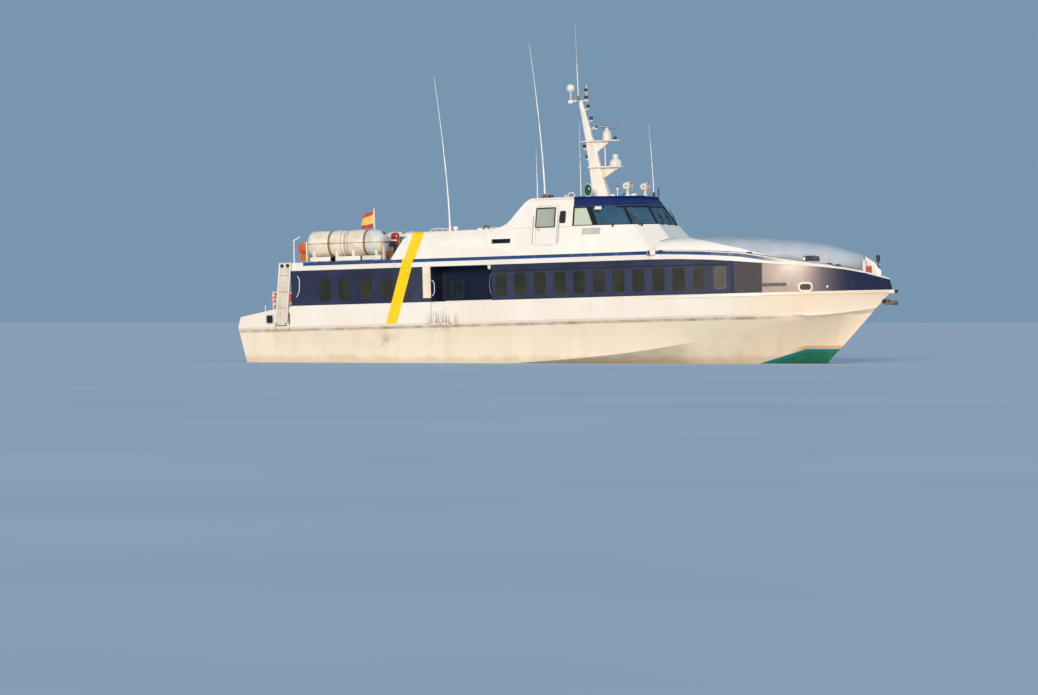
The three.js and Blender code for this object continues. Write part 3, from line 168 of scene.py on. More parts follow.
def weathered(name, light, dark, rough=(0.3, 0.45), patch=0.5, grain=0.03, depth=0.0005, grime=None,
              soiled=0.3, run=(5, 5, 0.7), **shader):
    """A coat that drifts between two tones, with a fine grain and, where grime is given, runs of dirt."""
    made, tree, place, _ = begin(name)
    drift = noise(tree, place, 1 / patch, 4.0, 0.35, 0.65)
    colour = mix(tree, drift, light, dark)
    if grime:
        runs = add(tree, "TexNoise", drawn_out(tree, place, run), 1.0, 4.0)
        soil = ramp(tree, runs, 0.48, 0.7, 0.0, soiled)
        colour = mix(tree, soil, colour, grime)
    grains = add(tree, "TexNoise", place, 1 / grain, 3.0)
    gloss = noise(tree, place, 3 / patch, 3.0, 0.3, 0.7, *rough)
    return finish(made, colour, gloss, grains, depth, **shader)


def with_yellow_band(tree, x, y, z, colour):
    """The raked yellow band painted up both sides, from the knuckle to the top of the raised house."""
    along = add(tree, "Math", z, -BAND_RAKE, x, operation="MULTIPLY_ADD")
    upright = ramp(tree, absolute(tree, facing(tree)["Y"]), 0.5, 0.55)
    out = absolute(tree, y)
    mask = within(tree, (along, -7.94, -7.41), (z, 1.775, 5.86), (out, 2.3, 4.0))
    mask = times(tree, mask, upright)
    return mix(tree, mask, colour, "#ffd000")


def hull_gelcoat():
    """Creamy white gelcoat: brown under the knuckle that is partly painted shadow and partly rust, warmer
    towards the bow as painted warm light, scum at the water, green antifouling below.
    """
    made, tree, place, (x, y, z) = begin("white_hull_gelcoat")
    drift = noise(tree, place, 0.5, 5.0, 0.35, 0.65)
    colour = mix(tree, drift, "#f4ecdf", "#efe3d0")
    low = ramp(tree, z, 1.62, 1.5, 0.0, 0.5)
    colour = mix(tree, low, colour, "#f0dcb8")
    # Warmer cream towards the bow: painted warm light on the flare.
    colour = mix(tree, ramp(tree, x, 7.8, 11.0, 0.0, 0.75), colour, "#fbe2c0")
    runs = add(tree, "TexNoise", drawn_out(tree, place, (1.9, 1.9, 0.22)), 1.0, 5.0)
    streak = times(tree, ramp(tree, runs, 0.5, 0.75, 0.0, 0.2), ramp(tree, z, 1.75, 1.2))
    colour = mix(tree, streak, colour, "#c79c62")
    # A brown line under the knuckle: partly painted shadow of the knuckle, partly rust stain.
    rough_edge = noise(tree, place, 2.2, 4.0, 0.3, 0.7, 0.25, 0.95)
    line = times(tree, within(tree, (z, 1.54, 1.665, 0.03), (x, -15.0, 10.3, 0.6)), rough_edge)
    colour = mix(tree, line, colour, "#a88a66")
    outlet = noise(tree, place, 2.4, 5.0, 0.4, 0.62, 0.0, 0.55)
    outlet = times(tree, outlet, within(tree, (x, -8.1, -6.9, 0.45), (z, 0.5, 1.3, 0.35)))
    colour = mix(tree, outlet, colour, "#a9855a")
    gate = within(tree, (x, -5.35, -3.9, 0.3), (z, 1.5, 2.05, 0.22))
    ribs = noise(tree, drawn_out(tree, place, (9, 9, 0.5)), 1.0, 2.0, 0.45, 0.6)
    colour = mix(tree, times(tree, gate, ribs), colour, "#b9a184")
    height = add(tree, "Math", x, TRIM, add(tree, "Math", z, -WATER, operation="ADD"),
                 operation="MULTIPLY_ADD")
    ragged = add(tree, "Math", add(tree, "TexNoise", place, 1.4, 5.0), -0.7, height, operation="MULTIPLY_ADD")
    scum = ramp(tree, ragged, 0.05, -0.2, 0.0, 0.4)
    colour = mix(tree, scum, colour, "#b9a06d")
    over = add(tree, "Math", height, ramp(tree, x, 9.1, 11.3, -0.02, 0.66), operation="SUBTRACT")
    boot = times(tree, between(tree, over, 0.0, 0.13, 0.02), ramp(tree, x, 10.6, 11.2))
    colour = mix(tree, boot, colour, "#e3b27a")
    below = ramp(tree, over, 0.0, -0.015)
    weed = noise(tree, place, 3.0, 5.0, 0.4, 0.7)
    bottom = mix(tree, weed, "#0f6e50", "#16503a")
    bottom = mix(tree, ramp(tree, over, -0.2, -0.03), bottom, "#0a7f88")
    colour = mix(tree, below, colour, bottom)
    colour = with_yellow_band(tree, x, y, z, colour)
    gloss = ramp(tree, runs, 0.3, 0.7, 0.24, 0.42)
    gloss = add(tree, "Math", gloss, times(tree, below, 0.4), operation="ADD")
    return finish(made, colour, gloss, add(tree, "TexNoise", place, 5.0, 3.0), 0.002, Coat_Weight=0.25)


def house_gelcoat(name, stripe=False):
    """White gelcoat of houses and decks: dusty tops, the yellow band and the blue sheer stripe."""
    made, tree, place, (x, y, z) = begin(name)
    drift = noise(tree, place, 0.6, 5.0, 0.35, 0.65)
    colour = mix(tree, drift, "#f5eee2", "#ede3d3")
    normal = facing(tree)
    top = ramp(tree, normal["Z"], 0.93, 0.98)
    grit = add(tree, "TexNoise", place, 14.0, 4.0)
    deck = mix(tree, ramp(tree, grit, 0.4, 0.6), "#dcd6ca", "#cfc9bd")
    if stripe:
        colour = mix(tree, top, colour, deck)
        drop = add(tree, "Attribute", attribute_name="below_sheer").node.outputs["Fac"]
        side = ramp(tree, absolute(tree, normal["Y"]), 0.3, 0.35)
        fade = ramp(tree, x, 9.9, 10.9, 1.0, 0.0)
        mask = within(tree, (drop, 0.0, 0.15), (x, -11.33, 10.95))
        mask = times(tree, times(tree, mask, side), fade)
        colour = mix(tree, mask, colour, "#1c4078")
    runs = add(tree, "TexNoise", drawn_out(tree, place, (4, 4, 0.5)), 1.0, 4.0)
    colour = mix(tree, ramp(tree, runs, 0.55, 0.75, 0.0, 0.22), colour, "#c9b596")
    colour = with_yellow_band(tree, x, y, z, colour)
    gloss = ramp(tree, drift, 0.0, 1.0, 0.28, 0.4)
    gloss = add(tree, "Math", gloss, times(tree, top, 0.3), operation="ADD")
    return finish(made, colour, gloss, grit, 0.0008, Coat_Weight=0.2)


def bridge_gelcoat():
    """The bridge shell: white gelcoat, a gloss navy brow over the windows and black round them."""
    made, tree, place, (x, y, z) = begin("bridge_gelcoat")
    drift = noise(tree, place, 0.7, 5.0, 0.35, 0.65)
    colour = mix(tree, drift, "#f5eee2", "#eee4d5")
    lying = ramp(tree, facing(tree)["Z"], 0.9, 0.95)
    brow = within(tree, (x, 1.40, 9.0), (z, 6.71, 7.4))
    brow = add(tree, "Math", brow, lying, operation="SUBTRACT", use_clamp=True)
    colour = mix(tree, brow, colour, "#06235c")
    posts = within(tree, (x, 1.385, 9.0), (z, 5.845, 6.71))
    colour = mix(tree, posts, colour, "#11151c")
    grit = add(tree, "TexNoise", place, 14.0, 4.0)
    return finish(made, colour, ramp(tree, drift, 0.0, 1.0, 0.38, 0.5), grit, 0.0008, Specular_IOR_Level=0.2)


def band_paint():
    """Navy paint round the saloon, painted shade inside the boarding bays, a cream pillar, a grey-brown panel
    and a pale painted reflection of the sun on the bow flank.
    """
    made, tree, place, (x, y, z) = begin("navy_band_paint")
    drift = noise(tree, place, 0.8, 4.0, 0.35, 0.65)
    colour = mix(tree, drift, "#2b3146", "#323950")
    strip = within(tree, (x, -2.26, 8.70), (z, 2.76, 3.95))
    colour = mix(tree, times(tree, strip, 0.3), colour, "#454a60")
    colour = mix(tree, ramp(tree, x, 12.3, 13.8), colour, "#171f40")
    out = absolute(tree, y)
    # Darker navy inside the boarding bays: painted shade of the recess.
    bay_recess_shade = within(tree, (x, -5.25, -2.27), (out, 0.0, 3.15))
    colour = mix(tree, bay_recess_shade, colour, "#161f36")
    panel = within(tree, (x, 8.80, 9.97))
    colour = mix(tree, panel, colour, "#4c4546")
    # A pale patch on the bow flank, brighter in a painted glare: painted reflection of the sun on the glossy
    # navy, with brown stains over it.
    fading = add(tree, "Math", ramp(tree, x, 11.6, 13.5, 1.0, 0.0), 2.0, operation="POWER")
    painted_reflection = times(tree, between(tree, x, 9.97, 13.6), fading)
    painted_glare = times(tree, between(tree, x, 10.5, 11.9, 0.55), between(tree, z, 3.15, 4.3, 0.5))
    painted_glare = times(tree, painted_glare, add(tree, "TexNoise", place, 1.3, 3.0))
    steel = mix(tree, ramp(tree, painted_glare, 0.0, 0.6), "#b3998c", "#f0e0cc")
    stain = noise(tree, place, 2.6, 4.0, 0.5, 0.75, 0.0, 0.35)
    steel = mix(tree, stain, steel, "#8f7668")
    colour = mix(tree, painted_reflection, colour, steel)
    pillar = within(tree, (x, -5.57, -5.16), (z, 2.87, 4.4), (out, 3.16, 4.0))
    normal = facing(tree)
    aft = ramp(tree, normal["X"], -0.8, -0.9)
    in_well = ramp(tree, times(tree, y, normal["Y"]), -0.01, -0.02)
    in_well = times(tree, in_well, ramp(tree, x, 13.0, 13.1))
    level = ramp(tree, normal["Z"], 0.9, 0.95)
    for mask, paint in ((pillar, "#f3e2c8"), (aft, "#efe6d8"), (in_well, "#e9dcc8"), (level, "#b9b2a4")):
        colour = mix(tree, mask, colour, paint)
    colour = with_yellow_band(tree, x, y, z, colour)
    gloss = ramp(tree, drift, 0.0, 1.0, 0.2, 0.3)
    gloss = add(tree, "Math", gloss, ramp(tree, x, 4.0, 7.6, 0.0, 0.42), operation="ADD")
    gloss = add(tree, "Math", between(tree, x, -6.9, -5.2, 0.2), 0.4, gloss, operation="MULTIPLY_ADD")
    return finish(made, colour, gloss, add(tree, "TexNoise", place, 6.0, 3.0), 0.0012,
                  Specular_IOR_Level=0.22)


def foredeck_painted_shade():
    """The turtleback's gelcoat: blue-grey painted shade for its sky-lit top, rough with sand, with a cream
    band of painted sunlight along its flank.
    """
    made, tree, place, (x, y, z) = begin("foredeck_painted_sky_shade")
    drift = noise(tree, place, 0.8, 4.0, 0.35, 0.65)
    colour = mix(tree, drift, "#b4bcc3", "#a7afb6")
    soil = noise(tree, place, 2.2, 5.0, 0.5, 0.7, 0.0, 0.25)
    colour = mix(tree, soil, colour, "#a89f90")
    # The cream band is painted sunlight on the flank that faces the sun.
    drop = add(tree, "Attribute", attribute_name="below_sheer").node.outputs["Fac"]
    limit = ramp(tree, x, 4.0, 10.5, 1.0, 0.0)
    sunlit_flank = ramp(tree, add(tree, "Math", drop, limit, operation="ADD"), 0.0, 0.03)
    colour = mix(tree, sunlit_flank, colour, "#f6eee1")
    sand = add(tree, "TexNoise", place, 50.0, 3.0)
    return finish(made, colour, ramp(tree, drift, 0.0, 1.0, 0.5, 0.62), sand, 0.001)


def bridge_glass():
    """Bridge glass, seen through: blue-green, but pale in the aftermost pane, lit from behind."""
    made, tree, place, (x, y, z) = begin("laminated_bridge_glass")
    drift = noise(tree, place, 0.8, 3.0, 0.35, 0.65)
    colour = mix(tree, drift, "#336482", "#244e63")
    pale = between(tree, add(tree, "Math", z, 0.26, x, operation="MULTIPLY_ADD"), 1.0, 3.9)
    colour = mix(tree, pale, colour, "#d3dfc8")
    return finish(made, colour, 0.04, Alpha=ramp(tree, pale, 0.0, 1.0, 0.55, 0.8), IOR=1.52)


def flag_cloth():
    """Woven polyester bunting in three bands, with stitched hems and a coarse drawn weave."""
    made, tree, _, _ = begin("woven_flag_bunting")
    across = add(tree, "TexCoord").node.outputs["UV"]
    u, v, _ = add(tree, "SeparateXYZ", across).node.outputs
    colour = mix(tree, between(tree, v, 0.25, 0.75, 0.004), "#c2202a", "#f7cb5c")
    hem = within(tree, (u, 0.03, 0.97, 0.004), (v, 0.03, 0.97, 0.004))
    colour = mix(tree, ramp(tree, u, 0.045, 0.035), colour, "#efe8da")
    weave = add(tree, "TexWave", across, 60.0, bands_direction="DIAGONAL")
    fade = noise(tree, across, 6.0, 3.0, 0.4, 0.7, 0.0, 0.2)
    colour = mix(tree, fade, colour, "#f5dfb0")
    height = add(tree, "Math", weave, hem, operation="ADD")
    return finish(made, colour, 0.85, height, 0.0008, Sheen_Weight=0.3)


HULL = hull_gelcoat()
HOUSE = house_gelcoat("house_gelcoat")
SHEER_DECK = house_gelcoat("striped_deck_gelcoat", stripe=True)
BRIDGE = bridge_gelcoat()
BAND = band_paint()
FOREDECK_SHADE = foredeck_painted_shade()
FLAG = flag_cloth()
# Sprayed white two-pack paint on metal fittings: clean, a little chalky, with brown runs
WHITE = weathered("white_fitting_paint", "#f4ede1", "#e9e0d1", (0.3, 0.45), grime="#b08a60", soiled=0.25)
# Marine anodised aluminium, dull with salt
ALLOY = weathered("anodised_aluminium", "#c9c6bf", "#a9a59c", (0.3, 0.45), patch=0.2, Metallic=0.85)
# Bright stainless tube, a little dimmed by salt
STAINLESS = weathered("polished_stainless", "#d9d6d0", "#bdb9b2", (0.12, 0.25), patch=0.15, Metallic=1.0)
# Iron: dull grey zinc with rust runs, and the brown scale of the anchor
GALVANISED = weathered("galvanised_iron", "#6d6a66", "#4d4a48", (0.45, 0.65), patch=0.06, depth=0.002,
                       Metallic=0.6, grime="#6b3f22", soiled=0.6)
RUSTY = weathered("rusted_anchor_iron", "#8e6f58", "#5f4436", (0.6, 0.8), patch=0.08, depth=0.003,
                  grime="#4a2c1c", soiled=0.6)
# Black parts: satin plastic and dull rubber
BLACK = weathered("black_moulded_plastic", "#17191d", "#22252a", (0.35, 0.5), patch=0.2)
RUBBER = weathered("black_epdm_rubber", "#15161a", "#24252a", (0.6, 0.75), patch=0.1, depth=0.001)
# Tinted toughened glass with the dim saloon behind it: olive brown, almost opaque
SALOON_GLASS = weathered("tinted_saloon_glass", "#262a21", "#38362c", (0.26, 0.36), patch=0.9, depth=0.0,
                         IOR=1.52, Specular_IOR_Level=0.2)
# Glossy panes with a dark room behind them
DARK_GLASS = weathered("dark_door_glass", "#10161f", "#1a212c", (0.05, 0.1), patch=0.5, depth=0.0, IOR=1.52)
BRIDGE_GLASS = bridge_glass()
# The panes of the bridge doors, pale and half clear
PALE_GLASS = weathered("pale_laminated_glass", "#bfc5b4", "#b2b8a6", (0.03, 0.06), patch=1.0, depth=0.0,
                       IOR=1.52, Alpha=0.72)
# Chopped-strand fibreglass mouldings with a chalky gelcoat
MOULDED = weathered("cream_canister_gelcoat", "#f2e4d2", "#e8d8c2", (0.35, 0.5), patch=0.4, grain=0.05,
                    depth=0.0012, grime="#b0946c", soiled=0.35, run=(1.5, 3, 3))
# Pale grey: on the forward half of the forward raft it is painted shade of the end that faces forward; also
# the grey of the fairing beside it and of the horn drum's rim
PALE_GREY_AND_SHADE = weathered("pale_grey_gelcoat_and_painted_shade", "#dedcd2", "#d0cec4", (0.35, 0.5), grime="#9c9684", soiled=0.3)
# Matt brown rubber over seams, and yellow straps with a cloth grain
SEAM = weathered("rubber_seam_band", "#8f7553", "#75603f", (0.6, 0.8), patch=0.2)
WEBBING = weathered("yellow_polyester_webbing", "#e3a42a", "#c9861a", (0.7, 0.85), patch=0.05, grain=0.006,
                    depth=0.001)
# Hypalon-coated tube fabric, matt orange with a fine cloth grain
TUBE = weathered("orange_tube_fabric", "#ff7418", "#fb6812", (0.55, 0.7), patch=0.4, grain=0.012,
                 depth=0.0006, grime="#a04a20", soiled=0.2, Sheen_Weight=0.1)
# Hard orange skin, shiny white tape, soft laid rope, sandy treads
BUOY = weathered("orange_buoy_shell", "#f04a1c", "#dc3c18", (0.4, 0.55), patch=0.1)
TAPE = weathered("white_reflective_tape", "#f1ede4", "#dcd8ce", (0.25, 0.35), patch=0.05)
ROPE = weathered("white_laid_rope", "#d8cdb6", "#b9ad94", (0.8, 0.9), patch=0.02, grain=0.01, depth=0.002)
PLANK = weathered("beige_tread_coating", "#dfd4c2", "#d2c4b0", (0.55, 0.7), patch=0.35, grain=0.012,
                  depth=0.0015, grime="#b39c86", soiled=0.3, run=(4, 4, 0.8))
# Running gear: warm bronze and a bright ground shaft
BRONZE = weathered("nickel_aluminium_bronze", "#b98a4a", "#9a6f38", (0.25, 0.4), patch=0.1, Metallic=1.0)
STEEL = weathered("ground_shaft_steel", "#a6a8aa", "#8b8d90", (0.25, 0.4), patch=0.2, Metallic=1.0)
# Glossy red cowl, orange enamel gone rusty, brown varnish
RED = weathered("red_engine_cowl", "#b3202a", "#8f1620", (0.2, 0.35), patch=0.2, Coat_Weight=0.4)
WINCH = weathered("orange_winch_enamel", "#f0602c", "#d9481c", (0.35, 0.5), patch=0.1, grime="#6b3a22",
                  soiled=0.5)
BROWN = weathered("brown_varnished_base", "#8a5a38", "#6e4328", (0.35, 0.5), patch=0.05)
# Inside the bridge: matt vinyl, soft black leather, screens that glow faintly
TRIM_GREY = weathered("textured_helm_vinyl", "#2d3036", "#3a3d44", (0.55, 0.7), patch=0.2, grain=0.01,
                      depth=0.001)
LEATHER = weathered("black_seat_leather", "#1c1d20", "#2a2a2c", (0.4, 0.55), patch=0.05, grain=0.008,
                    depth=0.0015)
SCREEN = weathered("display_glass", "#0c1418", "#14242a", (0.05, 0.1), patch=0.3, depth=0.0,
                   Emission_Color="#1c4a5c", Emission_Strength=0.4)
# Glossy lamp lenses
LAMP_CLEAR, LAMP_RED, LAMP_GREEN = [
    weathered(f"{name}_lamp_lens", light, dark, (0.08, 0.15), patch=0.05, depth=0.0, IOR=1.49)
    for name, light, dark in
    (("clear", "#e8efe8", "#cfdcd6"), ("red", "#7a1020", "#5a0c18"), ("green", "#0f5a38", "#0c4a30"))]
# Light greys: panels, hatch lids and seats, and the pale rods of the whips
GREY = weathered("grey_panel_paint", "#c9c6bd", "#bdb9b0", (0.35, 0.5), patch=0.3)
SEAM_GREY = weathered("grey_hatch_gelcoat", "#dad6cc", "#c6c1b6", (0.35, 0.5), patch=0.2, grime="#8f8470",
                      soiled=0.3)
WHIP = weathered("painted_glass_fibre_rod", "#f2efe8", "#d6d5d1", (0.3, 0.45), patch=0.8, depth=0.0003)


# Modelling

def only(*pieces):
    bpy.ops.object.select_all(action="DESELECT")
    for piece in pieces:
        piece.select_set(True)
    bpy.context.view_layer.objects.active = pieces[0]
    return pieces[0]


def settle(piece):
    """Puts a piece's place, turn and size into its mesh."""
    only(piece)
    bpy.ops.object.transform_apply(location=True, rotation=True, scale=True)
    return piece


@contextmanager
def editing(piece, kind="FACE"):
    """Edit mode with everything selected."""
    only(piece)
    bpy.ops.object.mode_set(mode="EDIT")
    bpy.ops.mesh.select_mode(type=kind)
    bpy.ops.mesh.select_all(action="SELECT")
    yield
    bpy.ops.object.mode_set(mode="OBJECT")


def pick(kind, test):
    """In edit mode, selects what a test lets through: it gets the middle, and a face's normal or the ends."""
    bpy.ops.mesh.select_mode(type=kind)
    bpy.ops.mesh.select_all(action="DESELECT")
    mesh = bmesh.from_edit_mesh(bpy.context.object.data)
    for part in {"VERT": mesh.verts, "EDGE": mesh.edges, "FACE": mesh.faces}[kind]:
        points = [part.co] if kind == "VERT" else [vert.co for vert in part.verts]
        middle = sum(points, Vector()) / len(points)
        if test(middle, part.normal if kind == "FACE" else points):
            part.select_set(True)
    mesh.select_flush_mode()
    bmesh.update_edit_mesh(bpy.context.object.data)


def extrude(by):
    """In edit mode, extrudes what is selected by a vector."""
    bpy.ops.mesh.extrude_region_move(TRANSFORM_OT_translate={"value": by})


def face_out():
    """In edit mode, turns every face outwards."""
    bpy.ops.mesh.select_all(action="SELECT")
    bpy.ops.mesh.normals_make_consistent(inside=False)


def outward(piece):
    """Merges doubles and turns every face of a closed piece outwards."""
    with editing(piece):
        bpy.ops.mesh.remove_doubles(threshold=0.0002)
        bpy.ops.mesh.normals_make_consistent(inside=False)
    return piece


def coated(piece, *coats):
    piece.data.materials.clear()
    for coat in coats:
        piece.data.materials.append(coat)
    return piece


def joined(*pieces):
    only(*pieces)
    bpy.ops.object.join()
    return bpy.context.object


def moved(piece, by=(0, 0, 0), turn=(0, 0, 0), size=(1, 1, 1)):
    piece.location, piece.rotation_euler, piece.scale = by, turn, size
    return settle(piece)


def sized(x, y, z):
    """Gives the piece just added its size, and settles it."""
    bpy.context.object.scale = (x, y, z)
    return settle(bpy.context.object)


def copied(piece, by=(0, 0, 0), turn=(0, 0, 0)):
    only(piece)
    bpy.ops.object.duplicate()
    return moved(bpy.context.object, by, turn)


def row_of(piece, shifts):
    """The piece and its copies at the shifts from it, as one."""
    return joined(piece, *[copied(piece, shift) for shift in shifts])


def mirrored(piece):
    """A copy to the other side of the ship."""
    only(piece)
    bpy.ops.object.duplicate()
    return outward(moved(bpy.context.object, size=(1, -1, 1)))


def gasket(coat, width, height, corner, rim, proud=0.012, depth=0.03):
    """A rounded ring that faces -Y, its back let into the wall."""
    bpy.ops.mesh.primitive_plane_add(size=1, rotation=(math.pi / 2, 0, 0), location=(0, depth, 0))
    piece = coated(sized(width, height, 1), coat)
    with editing(piece):
        bpy.ops.mesh.bevel(offset=corner, segments=4, affect="VERTICES")
        bpy.ops.mesh.select_all(action="SELECT")
        bpy.ops.mesh.inset(thickness=rim)
        bpy.ops.mesh.delete(type="FACE")
        bpy.ops.mesh.select_all(action="SELECT")
        extrude((0, -depth - proud, 0))
        face_out()
    return piece


def fitted(piece, name, body="vessel", stands_for=(), angle=35):
    """Names a finished piece, smooths its gentle corners, and sets what it rides on and stands for."""
    piece.name = piece.data.name = name
    only(piece)
    bpy.ops.object.shade_smooth_by_angle(angle=math.radians(angle))
    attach(piece, body)
    if stands_for:
        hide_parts(*stands_for)
    return piece


def both_sides(piece, name, body="vessel", stands_for="", angle=35):
    """Fits a starboard piece and its port twin. A body or node that ends in _ gets the side's name."""
    twins = {"starboard": piece, "port": mirrored(piece)}
    for side, twin in twins.items():
        rides = body + side if body.endswith("_") else body
        nodes = (stands_for + side,) if stands_for else ()
        fitted(twin, f"{name}_{side}", rides, nodes, angle)


def block(coat, low, high, edge=0.01, rounds=2):
    """A block between two corners, its edges rounded."""
    low, high = Vector(low), Vector(high)
    bpy.ops.mesh.primitive_cube_add(size=1, location=(low + high) / 2)
    piece = sized(*(high - low))
    with editing(piece, "EDGE"):
        bpy.ops.mesh.bevel(offset=edge, segments=rounds, affect="EDGES")
    return coated(piece, coat)


def drawn(points):
    """A flat face, its outline drawn corner to corner."""
    points = [Vector(point) for point in points]
    bpy.ops.mesh.primitive_plane_add(size=0.01, location=points[0])
    piece = settle(bpy.context.object)
    with editing(piece, "VERT"):
        bpy.ops.mesh.merge(type="CENTER")
        for a, b in zip(points, points[1:]):
            bpy.ops.mesh.extrude_vertices_move(TRANSFORM_OT_translate={"value": b - a})
        bpy.ops.mesh.select_all(action="SELECT")
        bpy.ops.mesh.edge_face_add()
    return piece


def slab(coat, points, depth, edge=0.0, rounds=2):
    """An outline drawn corner to corner and extruded by a vector, its edges rounded if wanted."""
    piece = drawn(points)
    with editing(piece):
        extrude(depth)
        face_out()
        if edge:
            bpy.ops.mesh.select_mode(type="EDGE")
            bpy.ops.mesh.select_all(action="SELECT")
            bpy.ops.mesh.bevel(offset=edge, segments=rounds, affect="EDGES")
    return coated(piece, coat)


def turned(coat, rows, at=(0, 0, 0), towards=(0, 0, 1), sides=28):
    """A turned piece: a disc extruded and resized through rows of (radius, height), stood at its place."""
    radius, height = rows[0]
    bpy.ops.mesh.primitive_circle_add(vertices=sides, radius=radius, fill_type="NGON",
                                      location=(0, 0, height))
    piece = settle(bpy.context.object)
    with editing(piece):
        for wide, high in rows[1:]:
            extrude((0, 0, high - height))
            bpy.ops.transform.resize(value=(wide / radius, wide / radius, 1), center_override=(0, 0, high))
            radius, height = wide, high
        face_out()
    piece.rotation_mode = "QUATERNION"
    piece.rotation_quaternion = Vector(towards).to_track_quat("Z", "Y")
    piece.location = at
    settle(piece)
    piece.rotation_mode = "XYZ"
    return coated(piece, coat)


def rod(coat, a, b, radius, end=None, sides=16, edge=0.004):
    """A round bar between two points, chamfered at its ends."""
    a, b = Vector(a), Vector(b)
    end, length = radius if end is None else end, (b - a).length
    rows = [(radius - edge, 0), (radius, edge), (end, length - edge), (end - edge, length)]
    return turned(coat, rows, a, b - a, sides)


def pipe(coat, points, radius, closed=False, bend=True, taper=None, rounds=3):
    """A bent tube through points: a curve given its thickness, then made a mesh."""
    bpy.ops.curve.primitive_bezier_curve_add()
    curve = bpy.context.object
    line = curve.data
    line.splines.clear()
    spline = line.splines.new("BEZIER")
    spline.bezier_points.add(len(points) - 1)
    for i, (knot, point) in enumerate(zip(spline.bezier_points, points)):
        knot.co = point
        knot.handle_left_type = knot.handle_right_type = "AUTO" if bend else "VECTOR"
        knot.radius = taper[i] if taper else 1.0
    spline.use_cyclic_u = closed
    line.dimensions = "3D"
    line.resolution_u = 6 if bend else 1
    line.bevel_depth, line.bevel_resolution, line.use_fill_caps = radius, rounds, True
    only(curve)
    bpy.ops.object.convert(target="MESH")
    return coated(outward(settle(bpy.context.object)), coat)


def framed(width, height, corner, rim, frame_coat, pane_coat, proud=0.015, sink=0.012):
    """A rounded frame round a sunk pane. It faces -Y, and its back reaches into the wall."""
    bpy.ops.mesh.primitive_plane_add(size=1, rotation=(math.pi / 2, 0, 0), location=(0, LET_IN, 0))
    piece = coated(sized(width, height, 1), frame_coat, pane_coat)
    with editing(piece):
        bpy.ops.mesh.bevel(offset=corner, segments=5, affect="VERTICES")
        bpy.ops.mesh.select_all(action="SELECT")
        extrude((0, -LET_IN - proud, 0))
        bpy.ops.mesh.inset(thickness=0.004, depth=0.004)
        bpy.ops.mesh.inset(thickness=rim)
        extrude((0, sink, 0))
        bpy.context.object.active_material_index = 1
        bpy.ops.object.material_slot_assign()
        face_out()
    return piece


SKIN = {node: BVHTree.FromPolygons([v.co for v in NODES[node].data.vertices],
                                   [p.vertices for p in NODES[node].data.polygons])
        for node in ("main_house", "topsides", "after_bulwark", "bay_bulwark_starboard", "raised_house",
                     "bridge", "foredeck", "roof_deck", "bow_deck", "hull", "bridge_roof")}


def on_side(node, x, z, y=-8):
    """Where a side is met at x and z, and the way it faces there."""
    point, normal, _, _ = SKIN[node].ray_cast(Vector((x, y, z)), Vector((0, -math.copysign(1, y), 0)))
    return point, normal


def on_wall(x, z):
    """A spot on the leaning starboard wall of the raised house and the bridge."""
    return Vector((x, -wall_y(z), z)), Vector((0, -1, LEAN)).normalized()


def off_wall(x, z, off):
    """A point that stands off that wall."""
    point, out = on_wall(x, z)
    return point + out * off


def on_top(node, x, y):
    point, normal, _, _ = SKIN[node].ray_cast(Vector((x, y, 12)), Vector((0, 0, -1)))
    return point, normal


def set_on(piece, spot):
    """Stands a piece that was made facing -Y at a spot on a side, facing out from it."""
    point, out = spot
    up = (Vector((0, 0, 1)) - out * out.z).normalized()
    turn = Matrix((up.cross(out) * -1, out * -1, up)).transposed().to_4x4()
    turn.translation = point
    piece.matrix_world = turn
    return settle(piece)


def dressed(node, coat, angle=25):
    """A merged copy of a CAD node, smooth over its gentle corners, that stands for it."""
    piece = bpy.data.objects.new(f"{node}_shell", NODES[node].data.copy())
    bpy.context.collection.objects.link(piece)
    coated(piece, coat)
    for face in piece.data.polygons:
        face.material_index = 0
    with editing(piece):
        bpy.ops.mesh.remove_doubles(threshold=0.0001)
    return fitted(piece, f"{node}_shell", BODY_OF[node], (node,), angle)


def sheer(x):
    """Height of the roof's edge."""
    if x <= SHEER[0][0]:
        return SHEER[0][1]
    for (a, low), (b, high) in zip(SHEER, SHEER[1:]):
        if x <= b:
            return low + (high - low) * (x - a) / (b - a)
    return SHEER[-1][1]


def named(*nodes):
    """The names as they are, or with each side's name where one ends in _."""
    return [node + side for node in nodes for side in (dict(SIDES) if node.endswith("_") else ("",))]


